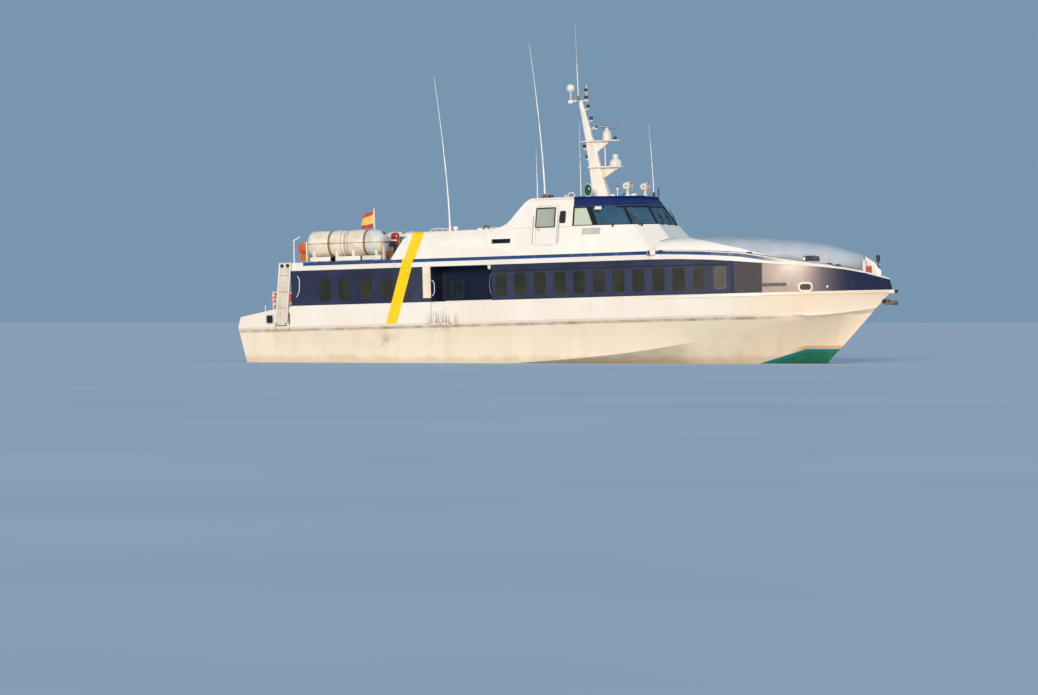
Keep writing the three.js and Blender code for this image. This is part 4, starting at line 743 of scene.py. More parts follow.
# Shells that keep the CAD's shape
for node in named("hull", "topsides", "after_bulwark", "bay_bulwark_", "rubbing_band"):
    dressed(node, HULL, angle=14)
dressed("main_house", BAND, angle=14)
for node, coat, angle in (("roof_deck", SHEER_DECK, 25), ("bow_deck", SHEER_DECK, 25),
                          ("foredeck", FOREDECK_SHADE, 40)):
    shell = dressed(node, coat, angle=angle)
    drop = shell.data.attributes.new("below_sheer", "FLOAT", "POINT")
    drop.data.foreach_set("value", [sheer(vert.co.x) - vert.co.z for vert in shell.data.vertices])
dressed("raised_house", HOUSE)
dressed("bridge", BRIDGE)
dressed("bridge_roof", BRIDGE)
WHIPS = ("house", "bridge_aft", "bridge_corner", "bridge_port", "bridge_fore")
for coat, *nodes in (
        (HULL, "bulwark_gate_"), (HOUSE, "bridge_door_", "after_door"), (BAND, "bay_door_"),
        (BRIDGE_GLASS, "bridge_glazing"), (PALE_GLASS, "bridge_door_glass_"),
        (MOULDED, "rafts_", *[f"whip_antenna_{name}" for name in WHIPS]),
        (WHITE, "mast", "searchlight_", "gangway_frame", "davit_column", "davit_boom", "flagstaff",
         "bow_locker"),
        (BLACK, "radar_scanner", "bow_light", "foredeck_hatch_"), (BRONZE, "propeller_", "rudder_"),
        (STEEL, "shaft_"), (BUOY, "lifebuoy_frame", "lifebuoy_house"), (TUBE, "rescue_boat"),
        (RED, "outboard"), (PLANK, "gangway"), (FLAG, "flag"), (GALVANISED, "anchor"), (RUBBER, "bow_fender"),
        (WINCH, "windlass"), (TRIM_GREY, "helm_console"), (LEATHER, "helm_chairs")):
    for node in named(*nodes):
        coated(NODES[node], coat)

# Saloon windows along both sides
WINDOW_XS = [-10.3, -9.35, -8.3, -7.3] + [-1.85 + 0.914 * k for k in range(12)]
panes = []
for x in WINDOW_XS:
    pane = framed(0.56, 1.0, 0.13, 0.028, BLACK, SALOON_GLASS, proud=0.006, sink=0.006)
    panes.append(set_on(pane, on_side("main_house", x, 3.37)))
both_sides(joined(*panes), "saloon_windows")

# Black moulding over the recessed window strip and down its forward end, which also stands in as painted
# shadow along the recess
strip = [on_side("main_house", -2.2 + 0.436 * k, 3.955) for k in range(26)]
strip += [on_side("main_house", 8.705, z) for z in (3.6, 3.2, 2.76)]
moulding = pipe(BLACK, [point + out * 0.002 for point, out in strip], 0.02, bend=False)
seam = [on_side("main_house", 9.97, z) for z in (3.93, 3.6, 3.2, 2.74)]
butt = pipe(BAND, [point for point, _ in seam], 0.014, bend=False)
after_strip = [point + out * 0.002
               for point, out in (on_side("main_house", -11.0 + 0.47 * k, 3.955) for k in range(12))]
after_moulding = pipe(BAND, after_strip, 0.016, bend=False)
both_sides(joined(moulding, butt, after_moulding), "window_strip_moulding_and_shadow_line")

# White moulding along the edge of the deck, under the turtleback
BOW_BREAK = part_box("bow_deck")[0].x
edge = []
for k in range(34):
    x = 5.5 + 0.22 * k
    point, out = on_side("bow_deck" if x > BOW_BREAK + 0.01 else "roof_deck", x, sheer(x) - 0.03)
    if point:
        edge.append(point - out * 0.012 + Vector((0, 0, 0.036)))
both_sides(pipe(WHITE, edge, 0.03), "deck_edge_moulding")

# Openings and fittings on the flare of the bow: the black panes sunk in the fairlead, chock and hawse are
# painted shade of their openings
fairlead = framed(1.08, 0.13, 0.055, 0.022, BLACK, BLACK, proud=0.03, sink=0.03)
set_on(fairlead, on_side("main_house", 10.46, 3.02))
chock = framed(0.66, 0.44, 0.2, 0.085, MOULDED, BLACK, proud=0.06, sink=0.055)
set_on(chock, on_side("main_house", 11.72, 2.88))
hawse = set_on(framed(0.17, 0.25, 0.08, 0.012, BLACK, BLACK, proud=0.02, sink=0.02),
               on_side("main_house", 13.53, 2.93))
spot, out = on_side("main_house", 12.59, 2.88)
eye = turned(TAPE, [(0.06, -0.02), (0.06, 0.01), (0.045, 0.045), (0.02, 0.06)], spot, out)
both_sides(joined(fairlead, chock, hawse, eye), "bow_fairleads")

# Horn cleats at the edge of the bow deck
def cleat():
    """A horn cleat made along X: two feet and a bar that droops to its ends."""
    feet = [turned(GALVANISED, [(0.045, 0), (0.03, 0.02), (0.022, 0.07)], (x, 0, 0), sides=14)
            for x in (-0.05, 0.05)]
    bar = pipe(GALVANISED, [(-0.17, 0, 0.055), (-0.09, 0, 0.08), (0.09, 0, 0.08), (0.17, 0, 0.055)], 0.02)
    return joined(*feet, bar)


cleats = []
for x, y in ((12.65, -1.3), (12.97, -1.12), (9.4, -2.5)):
    point, _ = on_top("bow_deck", x, y)
    cleats.append(moved(cleat(), point, (0, 0, math.radians(-22))))
both_sides(joined(*cleats), "bow_cleats")

# Hatch lids in the flanks of the foredeck
low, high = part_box("foredeck_hatch_starboard")
lid = block(BLACK, low, high, 0.014)
face = block(TRIM_GREY, (low.x + 0.08, low.y - 0.008, low.z + 0.03),
             (high.x - 0.03, low.y + 0.01, high.z - 0.03), 0.004)
block_end = block(WHITE, (low.x + 0.01, low.y - 0.02, low.z + 0.02),
                  (low.x + 0.1, low.y + 0.01, high.z - 0.02), 0.01)
dogs = [rod(STAINLESS, (x, low.y - 0.03, 4.06), (x, low.y + 0.01, 4.06), 0.014) for x in (11.75, 12.1)]
both_sides(joined(lid, face, block_end, *dogs), "foredeck_hatch_lid", "foredeck_hatch_",
           "foredeck_hatch_")

# Boarding bays: cap on the bulwark, handrail on the pillar, deck lamp under the roof
cap = block(TAPE, (-4.47, -3.215, 2.68), (-2.30, -3.112, 2.715), 0.012)
both_sides(cap, "bay_bulwark_cap")
grip = pipe(WHITE, [(-5.19, -3.08, 3.66), (-5.1, -3.1, 3.6), (-5.05, -3.1, 3.3), (-5.1, -3.1, 3.02),
                    (-5.19, -3.08, 2.96)], 0.017)
rail = pipe(STAINLESS, [(-2.30, -3.08, 3.9), (-2.37, -3.09, 3.82), (-2.37, -3.09, 3.0),
                        (-2.30, -3.08, 2.92)], 0.015)
lamp = turned(LAMP_CLEAR, [(0.075, 4.255), (0.08, 4.2), (0.075, 4.12), (0.04, 4.06), (0.01, 4.05)],
              (-2.46, -3.0, 0), sides=20)
shade = turned(TAPE, [(0.1, 4.26), (0.1, 4.225), (0.085, 4.21)], (-2.46, -3.0, 0), sides=20)
both_sides(joined(grip, rail, lamp, shade), "bay_handrails_and_lamp")

# Bay doors: window, kick plate and lever
window = moved(framed(0.6, 0.8, 0.08, 0.03, BLACK, DARK_GLASS), (-4.43, -1.823, 3.22))
kick = block(STAINLESS, (-4.85, -1.832, 1.9), (-4.05, -1.82, 2.15), 0.004)
lever = pipe(STAINLESS, [(-4.8, -1.82, 2.75), (-4.8, -1.88, 2.75), (-4.66, -1.88, 2.75)], 0.012)
both_sides(joined(window, kick, lever), "bay_door_fittings", "bay_door_")

# Bulwark gates: stiffening ribs, hinge straps and latch on the outer face
low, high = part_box("bulwark_gate_starboard")
rib = block(GREY, (low.x + 0.07, low.y - 0.014, 1.86), (low.x + 0.1, low.y + 0.004, 2.3), 0.006)
ribs = row_of(rib, [(0.12 * k, 0, 0) for k in range(1, 5)])
edge_bar = block(TAPE, (low.x, low.y - 0.012, 2.6), (high.x, low.y + 0.004, 2.66), 0.005)
straps = [block(TAPE, (low.x - 0.01, low.y - 0.018, z), (low.x + 0.22, low.y + 0.004, z + 0.05), 0.006)
          for z in (1.95, 2.45)]
latch = pipe(GREY, [(high.x - 0.06, low.y, 2.42), (high.x - 0.06, low.y - 0.03, 2.42),
                    (high.x - 0.06, low.y - 0.03, 2.34)], 0.01)
both_sides(joined(ribs, edge_bar, latch, *straps), "bulwark_gate_ribs", "bulwark_gate_")

# Mooring ports and a stanchion in the after bulwark
# The dark glossy pane in each port is painted shade of the opening.
port = set_on(framed(0.4, 0.44, 0.11, 0.045, GREY, DARK_GLASS, proud=0.03, sink=0.015),
              on_side("after_bulwark", -13.05, 2.12))
stanchion = rod(WHITE, (-13.3, -3.05, 2.4), (-13.3, -3.05, 2.77), 0.02)
both_sides(joined(port, stanchion), "mooring_ports")

# Louvre in the slot of the raised house
frame_ring = set_on(gasket(BLACK, 0.88, 0.2, 0.02, 0.018), on_wall(-1.92, 5.285))
blades = []
for k in range(5):
    blade = block(BLACK, (-0.42, -0.012, -0.006), (0.42, 0.03, 0.006), 0.003)
    moved(blade, turn=(math.radians(35), 0, 0))
    blades.append(set_on(blade, on_wall(-1.92, 5.215 + 0.035 * k)))
back_plate = block(BLACK, (-0.42, 0.035, -0.085), (0.42, 0.055, 0.085), 0.004)
set_on(back_plate, on_wall(-1.92, 5.285))
both_sides(joined(frame_ring, back_plate, *blades), "house_side_louvres")

# Strakes, panel and small windows on the walls beside the bridge
def strip_on_wall(x0, x1, z):
    """A thin grey strake along the wall: a block made at twice its length and height, then halved."""
    bar = block(GREY, (x0 - x1, -0.014, -0.014), (x1 - x0, 0.01, 0.014), 0.003)
    moved(bar, size=(0.5, 1, 0.5))
    return set_on(bar, on_wall((x0 + x1) / 2, z))


slot_window = set_on(framed(0.28, 0.56, 0.07, 0.035, BLACK, SALOON_GLASS), on_wall(0.92, 6.26))
panel = set_on(framed(0.84, 0.29, 0.012, 0.012, GREY, GREY, proud=0.008, sink=0.004), on_wall(2.285, 5.595))
ledges = [strip_on_wall(a, b, 5.83) for a, b in ((-1.32, -0.36), (0.73, 1.31))]
grip = ((5.1, 0), (5.13, 0.05), (6.3, 0.05), (6.33, 0))
uprights = [pipe(STAINLESS, [off_wall(x, z, off) for z, off in grip], 0.014, bend=False)
            for x in (-0.43, 0.78)]
brow_lamp = block(TAPE, (-0.16, -0.06, -0.075), (0.16, 0.03, 0.075), 0.03, 3)
set_on(brow_lamp, on_wall(2.55, 6.6))
both_sides(joined(slot_window, panel, brow_lamp, *ledges, *uprights), "bridge_wall_fittings")

# Bridge doors: gasket round the window, ledge, lever and a seam round the door
ring = set_on(gasket(BLACK, 0.93, 0.93, 0.06, 0.055, proud=0.014), on_wall(0.115, 6.259))
ledge = strip_on_wall(-0.31, 0.67, 5.83)
lever = pipe(STAINLESS, [off_wall(x, 5.72, off) for x, off in ((-0.22, 0), (-0.22, 0.05), (-0.08, 0.05))],
             0.013)
edge = set_on(gasket(GREY, 0.98, 1.76, 0.05, 0.012, proud=0.004), on_wall(0.18, 5.915))
both_sides(joined(ring, ledge, lever, edge), "bridge_door_fittings", "bridge_door_")

# Dark lamps under the windscreen, and the wipers on the three front panes
lamps = []
for x in (3.2, 4.35):
    point, out = on_side("bridge", x, 5.79)
    lamps.append(turned(BLACK, [(0.035, -0.02), (0.05, 0.03), (0.045, 0.09), (0.02, 0.1)], point, out,
                        sides=14))
both_sides(joined(*lamps), "sill_lamps")


def wiper(foot, tip, out):
    """An arm and blade that stand off a window, with the motor's cap at the foot."""
    foot, tip, out = Vector(foot), Vector(tip), Vector(out).normalized()
    motor = turned(BLACK, [(0.05, -0.03), (0.05, 0.05), (0.03, 0.07)], foot, out, sides=14)
    arm = pipe(BLACK, [foot + out * 0.06, foot.lerp(tip, 0.3) + out * 0.09,
                       foot.lerp(tip, 0.75) + out * 0.05], 0.014)
    blade = rod(BLACK, foot.lerp(tip, 0.35) + out * 0.045, tip + out * 0.045, 0.014, sides=8, edge=0.003)
    return joined(motor, arm, blade)


front_out = Vector((0.85, 0, 0.53))
wipers = [wiper((4.93, y, 5.84), (4.55, y + 0.3, 6.52), front_out) for y in (-0.95, 0.0, 0.95)]
for side in (-1, 1):
    point, out = on_side("bridge", 4.25, 5.84, side * 8)
    wipers.append(wiper(point, point + Vector((-0.55, side * -0.1, 0.62)), out))
fitted(joined(*wipers), "windscreen_wipers")

# Mast: a raked column with two decks, domes, lamps, and the yard with its aerials
MAST_ROWS = ((7.14, 1.48, 2.24, 0.26), (8.45, 1.33, 1.86, 0.19), (9.57, 1.18, 1.62, 0.15),
             (9.87, 1.13, 1.48, 0.13), (11.48, 0.85, 1.03, 0.07))


def tower(coat, rows, edge):
    """A post through rows of (height, after x, fore x, half breadth), its upright corners rounded."""
    z, aft, fore, half = rows[0]
    piece = drawn([(aft, -half, z), (fore, -half, z), (fore, half, z), (aft, half, z)])
    with editing(piece):
        for high, back, front, wide in rows[1:]:
            shift = ((back + front - aft - fore) / 2, 0, high - z)
            extrude(shift)
            bpy.ops.transform.resize(value=((front - back) / (fore - aft), wide / half, 1),
                                     center_override=((back + front) / 2, 0, high))
            z, aft, fore, half = high, back, front, wide
        face_out()
        pick("EDGE", lambda middle, ends: abs(ends[0].z - ends[1].z) > 0.05)
        bpy.ops.mesh.bevel(offset=edge, segments=3, affect="EDGES")
    return coated(piece, coat)


def mast_back(z):
    """The x of the mast's after edge at a height."""
    for (low, x0, *_), (high, x1, *_) in zip(MAST_ROWS, MAST_ROWS[1:]):
        if z <= high:
            return x0 + (x1 - x0) * (z - low) / (high - low)


def nav_lamp(at, lens, size=0.075):
    """A navigation lamp: base, ribbed lens and cap."""
    base = turned(WHITE, [(size * 0.8, -0.01), (size, 0), (size, 0.03), (size * 0.85, 0.035)], at, sides=20)
    rows = [(size * 0.8, 0.03), (size * 0.92, 0.045), (size * 0.84, 0.07), (size * 0.92, 0.085),
            (size * 0.84, 0.11), (size * 0.8, 0.13)]
    cap = turned(BLACK, [(size * 0.85, 0.125), (size, 0.13), (size, 0.16), (size * 0.6, 0.185),
                         (0.015, 0.19)], at, sides=20)
    return joined(base, turned(lens, rows, at, sides=20), cap)


def bracket_lamp(x, z, reach, lens):
    """A lamp on a shelf that reaches out from the mast."""
    shelf = block(WHITE, (min(x, x + reach) - 0.02, -0.045, z - 0.11),
                  (max(x, x + reach) + 0.05, 0.045, z - 0.085), 0.005)
    web = slab(WHITE, [(x, -0.006, z - 0.1), (x + reach * 0.9, -0.006, z - 0.1), (x, -0.006, z - 0.24)],
               (0, 0.012, 0))
    return joined(shelf, web, nav_lamp((x + reach, 0, z - 0.08), lens, 0.085))


def mast_deck(back, front, half, low, thick):
    """A deck on the mast, its fore corners cut, its edges rounded."""
    outline = [(back, -half * 0.7, low), (front - 0.25, -half, low), (front, -half * 0.6, low),
               (front, half * 0.6, low), (front - 0.25, half, low), (back, half * 0.7, low)]
    return slab(WHITE, outline, (0, 0, thick), 0.012)


def ball(at, radius, coat):
    angles = [math.radians(a) for a in range(-75, 90, 15)]
    return turned(coat, [(radius * math.cos(a), radius * math.sin(a)) for a in angles], at, sides=32)


column = tower(WHITE, MAST_ROWS, 0.045)
shoe = tower(WHITE, [(BRIDGE_SEAT, 1.40, 2.34, 0.36), (7.17, 1.40, 2.34, 0.36), (7.2, 1.45, 2.28, 0.3)], 0.05)
low_deck = mast_deck(1.30, 2.84, 0.42, 8.47, 0.06)
top_deck = mast_deck(0.96, 2.76, 0.36, 9.64, 0.05)
low_gusset = slab(WHITE, [(1.5, -0.11, 8.49), (2.76, -0.11, 8.49), (2.02, -0.11, 8.03), (1.6, -0.11, 8.0)],
                  (0, 0.22, 0), 0.02)
top_gusset = slab(WHITE, [(1.3, -0.1, 9.66), (2.34, -0.1, 9.66), (1.72, -0.1, 9.19), (1.4, -0.1, 9.16)],
                  (0, 0.2, 0), 0.02)
strut = rod(WHITE, (2.0, 0.1, 8.52), (2.0, 0.1, 9.66), 0.025)
dome = turned(WHITE, [(0.22, -0.01), (0.26, 0.01), (0.275, 0.07), (0.27, 0.16), (0.24, 0.24), (0.18, 0.3),
                      (0.11, 0.335), (0.1, 0.36)], (2.52, 0, 8.53), sides=36)
dome_lamp = turned(LAMP_CLEAR, [(0.1, 0.35), (0.13, 0.37), (0.13, 0.46), (0.11, 0.47)], (2.52, 0, 8.53))
dome_cap = turned(TAPE, [(0.12, 0.465), (0.155, 0.475), (0.155, 0.505), (0.08, 0.535), (0.02, 0.54)],
                  (2.52, 0, 8.53))
pedestal = turned(WHITE, [(0.17, -0.01), (0.2, 0.02), (0.205, 0.13), (0.195, 0.33), (0.16, 0.4), (0.1, 0.44),
                          (0.08, 0.46), (0.08, 0.52)], (2.14, 0, 9.69), sides=36)
fore_lamp = turned(BLACK, [(0.06, -0.01), (0.075, 0.01), (0.075, 0.13), (0.05, 0.155), (0.02, 0.16)],
                   (2.52, 0, 9.69))
yard = rod(WHITE, (0.37, 0, 11.49), (1.31, 0, 11.49), 0.034)
tree = rod(WHITE, (0.92, -0.62, 11.49), (0.92, 0.62, 11.49), 0.032)
halyard_eyes = [turned(STAINLESS, [(0.02, -0.05), (0.028, -0.03), (0.028, -0.01), (0.015, 0.0)],
                       (0.92, y, 11.46), sides=12)
                for y in (-0.5, -0.3, 0.3, 0.5)]
shelf = block(WHITE, (0.36, -0.07, 11.4), (0.58, 0.07, 11.55), 0.02)
ball_stem = rod(WHITE, (0.48, 0, 11.5), (0.48, 0, 11.93), 0.026)
top_whip = rod(WHITE, (0.84, 0, 11.5), (0.802, 0, 13.2), 0.026, 0.018, 12)
tip_whip = rod(GREY, (0.803, 0, 13.15), (0.76, 0, 14.93), 0.014, 0.008, 12)
ferrule = rod(BROWN, (0.842, 0, 11.5), (0.838, 0, 11.72), 0.042)
stack_post = rod(WHITE, (1.2, 0.09, 11.5), (1.2, 0.09, 12.2), 0.02)
stack = [nav_lamp((1.2, 0, z), lens, 0.09) for z, lens in ((11.53, LAMP_RED), (11.86, LAMP_GREEN))]
lamps = [bracket_lamp(*row) for row in ((1.05, 11.21, 0.24, LAMP_GREEN), (1.18, 10.67, 0.24, LAMP_GREEN),
                                        (1.26, 9.44, -0.19, LAMP_RED), (1.34, 8.96, -0.15, LAMP_GREEN))]
loudhailer = turned(TAPE, [(0.04, -0.12), (0.05, -0.04), (0.07, 0.04), (0.1, 0.1), (0.1, 0.115),
                           (0.05, 0.06)], (1.59, -0.1, 10.26), (1, -0.3, 0.1))
hailer_arm = rod(WHITE, (1.3, -0.06, 10.22), (1.59, -0.1, 10.22), 0.018)
rungs = [pipe(STAINLESS, [(mast_back(z) + 0.03, y * 0.11, z) if y else (mast_back(z) - 0.06, 0, z)
                          for y in (-1, 0, 1)], 0.011)
         for z in [7.5 + 0.32 * k for k in range(12)] if abs(z - 8.98) > 0.2 and abs(z - 9.4) > 0.2]
ties = enumerate((7.16, 7.9, 8.6, 9.3, 10.1, 10.8, 11.4))
cable = pipe(BLACK, [(mast_back(z) + 0.05, 0.16 - 0.012 * k, z) for k, z in ties], 0.018)
fitted(joined(column, shoe, low_deck, top_deck, low_gusset, top_gusset, strut, dome, dome_lamp, dome_cap,
              pedestal, fore_lamp, yard, tree, shelf, ball_stem, ball((0.48, 0, 12.08), 0.19, TAPE),
              top_whip, tip_whip, ferrule, stack_post, loudhailer, hailer_arm, cable,
              *halyard_eyes, *stack, *lamps, *rungs),
       "mast_and_aerials", stands_for=("mast",))

# Radar scanner: a slotted bar on its spindle
bar = block(BLACK, (-0.07, -0.7, -0.045), (0.07, 0.7, 0.045), 0.028, 3)
slot_face = block(GREY, (0.064, -0.66, -0.026), (0.074, 0.66, 0.026), 0.004)
hub = turned(TAPE, [(0.09, -0.075), (0.095, -0.05), (0.075, -0.03)], sides=24)
spindle = rod(STAINLESS, (0, 0, -0.12), (0, 0, -0.03), 0.03)
scanner = moved(joined(bar, slot_face, hub, spindle), (2.14, 0, 10.285), (0, 0, math.radians(-24)))
fitted(scanner, "radar_bar", "radar_scanner", ("radar_scanner",))

# Whip antennas: (foot x, y, z, tip x, tip z, foot radius, colour of the foot)
for name, (x, y, z, tip_x, tip_z, radius, foot_coat) in zip(WHIPS, (
        (-4.75, -1.8, 5.83, -5.35, 12.76, 0.034, TAPE),
        (-0.16, -1.9, BRIDGE_TOP, -0.74, 14.04, 0.034, BROWN),
        (-0.4, -2.2, BRIDGE_TOP, -0.42, 9.37, 0.022, GREY),
        (0.17, 1.9, BRIDGE_TOP, 0.16, 10.77, 0.022, BROWN),
        (3.94, 0.98, BRIDGE_TOP, 3.78, 10.35, 0.024, TRIM_GREY))):
    steps = [k / 8 for k in range(9)]
    line = [Vector((x + (tip_x - x) * k ** 1.5, y, z + 0.1 + (tip_z - z - 0.1) * k)) for k in steps]
    whip = pipe(WHIP, line, radius, taper=[1.2 - k for k in steps])
    foot = turned(foot_coat, [(0.07, -0.01), (0.08, 0.0), (0.08, 0.02), (0.05, 0.03), (0.05, 0.13),
                              (0.062, 0.14), (0.062, 0.17), (0.04, 0.2)], (x, y, z), sides=20)
    joint = rod(ALLOY, line[3].lerp(line[4], 0.8), line[4].lerp(line[5], 0.2), radius * 0.9, sides=14)
    sleeve = rod(TAPE, line[0], line[0].lerp(line[1], 0.35), radius * 1.45, radius * 1.3)
    fitted(joined(whip, foot, joint, sleeve), f"whip_{name}",
           stands_for=(f"whip_antenna_{name}",))

# Searchlights: base, neck, yoke, and a head with a deep rim
for name, side, x in (("starboard", -1, 3.33), ("port", 1, 3.6)):
    y, high = side * 0.8, BRIDGE_TOP + 0.46
    foot = turned(WHITE, [(0.13, -0.005), (0.14, 0.01), (0.135, 0.06), (0.07, 0.1), (0.05, 0.13),
                          (0.045, 0.27), (0.06, 0.29), (0.03, 0.3)], (x, y, BRIDGE_TOP))
    yoke = pipe(WHITE, [(x, y - 0.2, high), (x, y - 0.2, high - 0.1), (x, y, high - 0.2),
                        (x, y + 0.2, high - 0.1), (x, y + 0.2, high)], 0.02)
    shell = turned(WHITE, [(0.05, -0.2), (0.11, -0.185), (0.15, -0.13), (0.165, -0.02), (0.2, 0.08),
                           (0.21, 0.16), (0.2, 0.172), (0.185, 0.165), (0.18, 0.12)], (x, y, high),
                   (1, 0, 0), 36)
    lens = turned(LAMP_CLEAR, [(0.182, 0.13), (0.17, 0.145), (0.09, 0.158), (0.02, 0.16)], (x, y, high),
                  (1, 0, 0), 36)
    bezel = turned(BROWN, [(0.2, 0.12), (0.212, 0.125), (0.212, 0.15), (0.2, 0.155)], (x, y, high),
                   (1, 0, 0), 36)
    knobs = [rod(BLACK, (x, y + k * 0.17, high), (x, y + k * 0.235, high), 0.03) for k in (-1, 1)]
    fitted(joined(foot, yoke, shell, lens, bezel, *knobs), f"searchlight_head_{name}",
           stands_for=(f"searchlight_{name}",))

# On the bridge roof: aerial feet, a grab hoop, the horn drum, a post lamp, a stub, horns, a lamp and box lids
hoop = pipe(WHITE, [(0.94, -1.9, 7.13), (0.94, -1.9, 7.26), (1.08, -1.9, 7.36), (1.22, -1.9, 7.26),
                    (1.22, -1.9, 7.13)], 0.02)
feet = [block(coat, (a, -2.02, BRIDGE_SEAT), (b, -1.8, 7.27), 0.03)
        for a, b, coat in ((-0.3, -0.22, BROWN), (-0.1, 0.02, BROWN), (0.06, 0.22, BLACK), (0.78, 0.9, GREY))]
drum = turned(LAMP_GREEN, [(0.22, -0.1), (0.26, -0.08), (0.27, 0.0), (0.26, 0.06), (0.2, 0.1), (0.06, 0.12)],
              (0, 0, 0), (0, -1, 0), 36)
drum_rim = turned(PALE_GREY_AND_SHADE, [(0.27, -0.03), (0.29, -0.02), (0.29, 0.03), (0.27, 0.04)], (0, 0, 0),
                  (0, -1, 0), 36)
drum = moved(joined(drum, drum_rim), (1.74, -1.5, 7.45), size=(0.62, 1, 1))
drum_foot = block(WHITE, (1.64, -1.56, BRIDGE_SEAT), (1.84, -1.44, 7.2), 0.01)
post = rod(WHITE, (2.68, -0.3, 7.13), (2.68, -0.3, 7.5), 0.022)
post_lamp = nav_lamp((2.68, -0.3, 7.46), LAMP_CLEAR, 0.045)
stub = rod(BLACK, (4.2, 0.9, 7.13), (4.2, 0.9, 7.52), 0.024)
horns = [turned(STAINLESS, [(0.02, -0.2), (0.025, -0.02), (0.04, 0.06), (0.075, 0.12), (0.075, 0.125),
                            (0.03, 0.07)], (3.05, y, 7.24), (1, 0, 0), 20)
         for y in (0.12, 0.3)]
horn_foot = block(STAINLESS, (2.9, 0.06, BRIDGE_SEAT), (3.0, 0.36, 7.23), 0.015)
roof_lamp = nav_lamp((2.72, 0.5, 7.14), LAMP_RED, 0.06)
box_lids = [block(WHITE, (a, -0.9, BRIDGE_SEAT), (b, -0.55, 7.25), 0.02)
            for a, b in ((3.52, 3.72), (2.55, 2.72))]
fitted(joined(hoop, drum, drum_foot, post, post_lamp, stub, horn_foot, roof_lamp, *feet, *horns, *box_lids),
       "bridge_roof_fittings")

# On the raised house: low rails, mushroom vents, a locker lid and two escape hatches
def vent(x, y, coat):
    z = on_top("raised_house", x, y)[0].z
    neck = turned(WHITE, [(0.07, -0.02), (0.075, 0.0), (0.06, 0.02), (0.06, 0.16)], (x, y, z))
    hood = turned(coat, [(0.11, 0.12), (0.14, 0.14), (0.14, 0.165), (0.11, 0.21), (0.05, 0.235),
                         (0.01, 0.24)], (x, y, z))
    return joined(neck, hood)


def roof_rail(y, a=-5.7, b=-4.85):
    z = on_top("raised_house", (a + b) / 2, y)[0].z
    bar = pipe(TAPE, [(a, y, z - 0.02), (a, y, z + 0.08), (a + 0.06, y, z + 0.12), (b - 0.06, y, z + 0.12),
                      (b, y, z + 0.08), (b, y, z - 0.02)], 0.016)
    legs = [rod(TAPE, (a + (b - a) * k, y, z - 0.02), (a + (b - a) * k, y, z + 0.12), 0.012)
            for k in (0.33, 0.67)]
    return joined(bar, *legs)


HOUSE_TOP = on_top("raised_house", -3, 0)[0].z
lid = block(ROPE, (-2.9, -1.75, HOUSE_TOP - 0.02), (-2.3, -1.35, HOUSE_TOP + 0.12), 0.025)
lid_hinges = [block(STAINLESS, (x, -1.38, HOUSE_TOP + 0.03), (x + 0.06, -1.33, HOUSE_TOP + 0.11), 0.006)
              for x in (-2.8, -2.46)]
hatches = [block(SEAM_GREY, (x - 0.36, -0.36, HOUSE_TOP - 0.02), (x + 0.36, 0.36, HOUSE_TOP + 0.05), 0.03)
           for x in (-6.2, -3.9)]
hatch_panes = [block(DARK_GLASS, (x - 0.28, -0.28, HOUSE_TOP + 0.03), (x + 0.28, 0.28, HOUSE_TOP + 0.062),
                     0.02) for x in (-6.2, -3.9)]
fitted(joined(vent(-4.6, -1.5, WHITE), vent(-3.1, -1.55, BROWN), vent(-4.6, 1.5, WHITE), roof_rail(-1.75),
              roof_rail(1.75), lid, *lid_hinges, *hatches, *hatch_panes), "house_top_fittings")

# Liferafts: two canisters in line on each side, on white chocks
RAFT_Y, RAFT_Z = -2.18, 5.45
RAFT_XS = (-10.48, -8.56)
# Rows of (radius, distance from the middle): the seal's groove, a domed, a flat and a blunt end
GROOVE = ((0.59, -0.21), (0.574, -0.12), (0.55, -0.055), (0.532, -0.03), (0.532, 0.03), (0.55, 0.055),
          (0.574, 0.12), (0.59, 0.21))
DOMED = ((0.2, 0.9), (0.38, 0.885), (0.49, 0.84), (0.555, 0.77), (0.585, 0.66))
FLAT = ((0.3, 0.935), (0.52, 0.93), (0.57, 0.9), (0.588, 0.84))
BLUNT = ((0.12, 0.9), (0.3, 0.87), (0.42, 0.79), (0.5, 0.68), (0.555, 0.54), (0.583, 0.38))


def ring_at(x, radius, wide, coat):
    """A band round a canister."""
    rows = [(radius - 0.03, -wide / 2), (radius, -wide / 2 + 0.006), (radius, wide / 2 - 0.006),
            (radius - 0.03, wide / 2)]
    return turned(coat, rows, (x, RAFT_Y, RAFT_Z), (1, 0, 0), 44)


def canister(x, after, seal, fore, end_coat):
    """A canister along the ship: two bulging drums with a groove for the seal, and a flange."""
    rows = [(r, -s) for r, s in after] + [(r, seal + s) for r, s in GROOVE] + list(reversed(fore))
    shell = turned(MOULDED, rows, (x, RAFT_Y, RAFT_Z), (1, 0, 0), 44)
    shell.data.materials.append(end_coat)
    with editing(shell):
        pick("FACE", lambda middle, normal: middle.x > x + seal + 0.02)
        bpy.context.object.active_material_index = 1
        bpy.ops.object.material_slot_assign()
    rim = [(-s, r + 0.01) for r, s in after] + [(s, r + 0.01) for r, s in reversed(fore)]
    rim += [(s, -r) for s, r in reversed(rim)]
    flange = slab(SEAM, [(x + a, RAFT_Y + b, RAFT_Z - 0.014) for a, b in rim], (0, 0, 0.028), 0.006)
    bands = [ring_at(x + seal, 0.556, 0.1, SEAM)] + [ring_at(x + s, 0.597, 0.03, SEAM) for s in (-0.8, 0.8)
                                                     if (s < 0) == (fore is BLUNT)]
    bands += [ring_at(x + seal + s, 0.6, 0.05, MOULDED) for s in (-0.42, 0.38)]
    return joined(shell, flange, *bands)


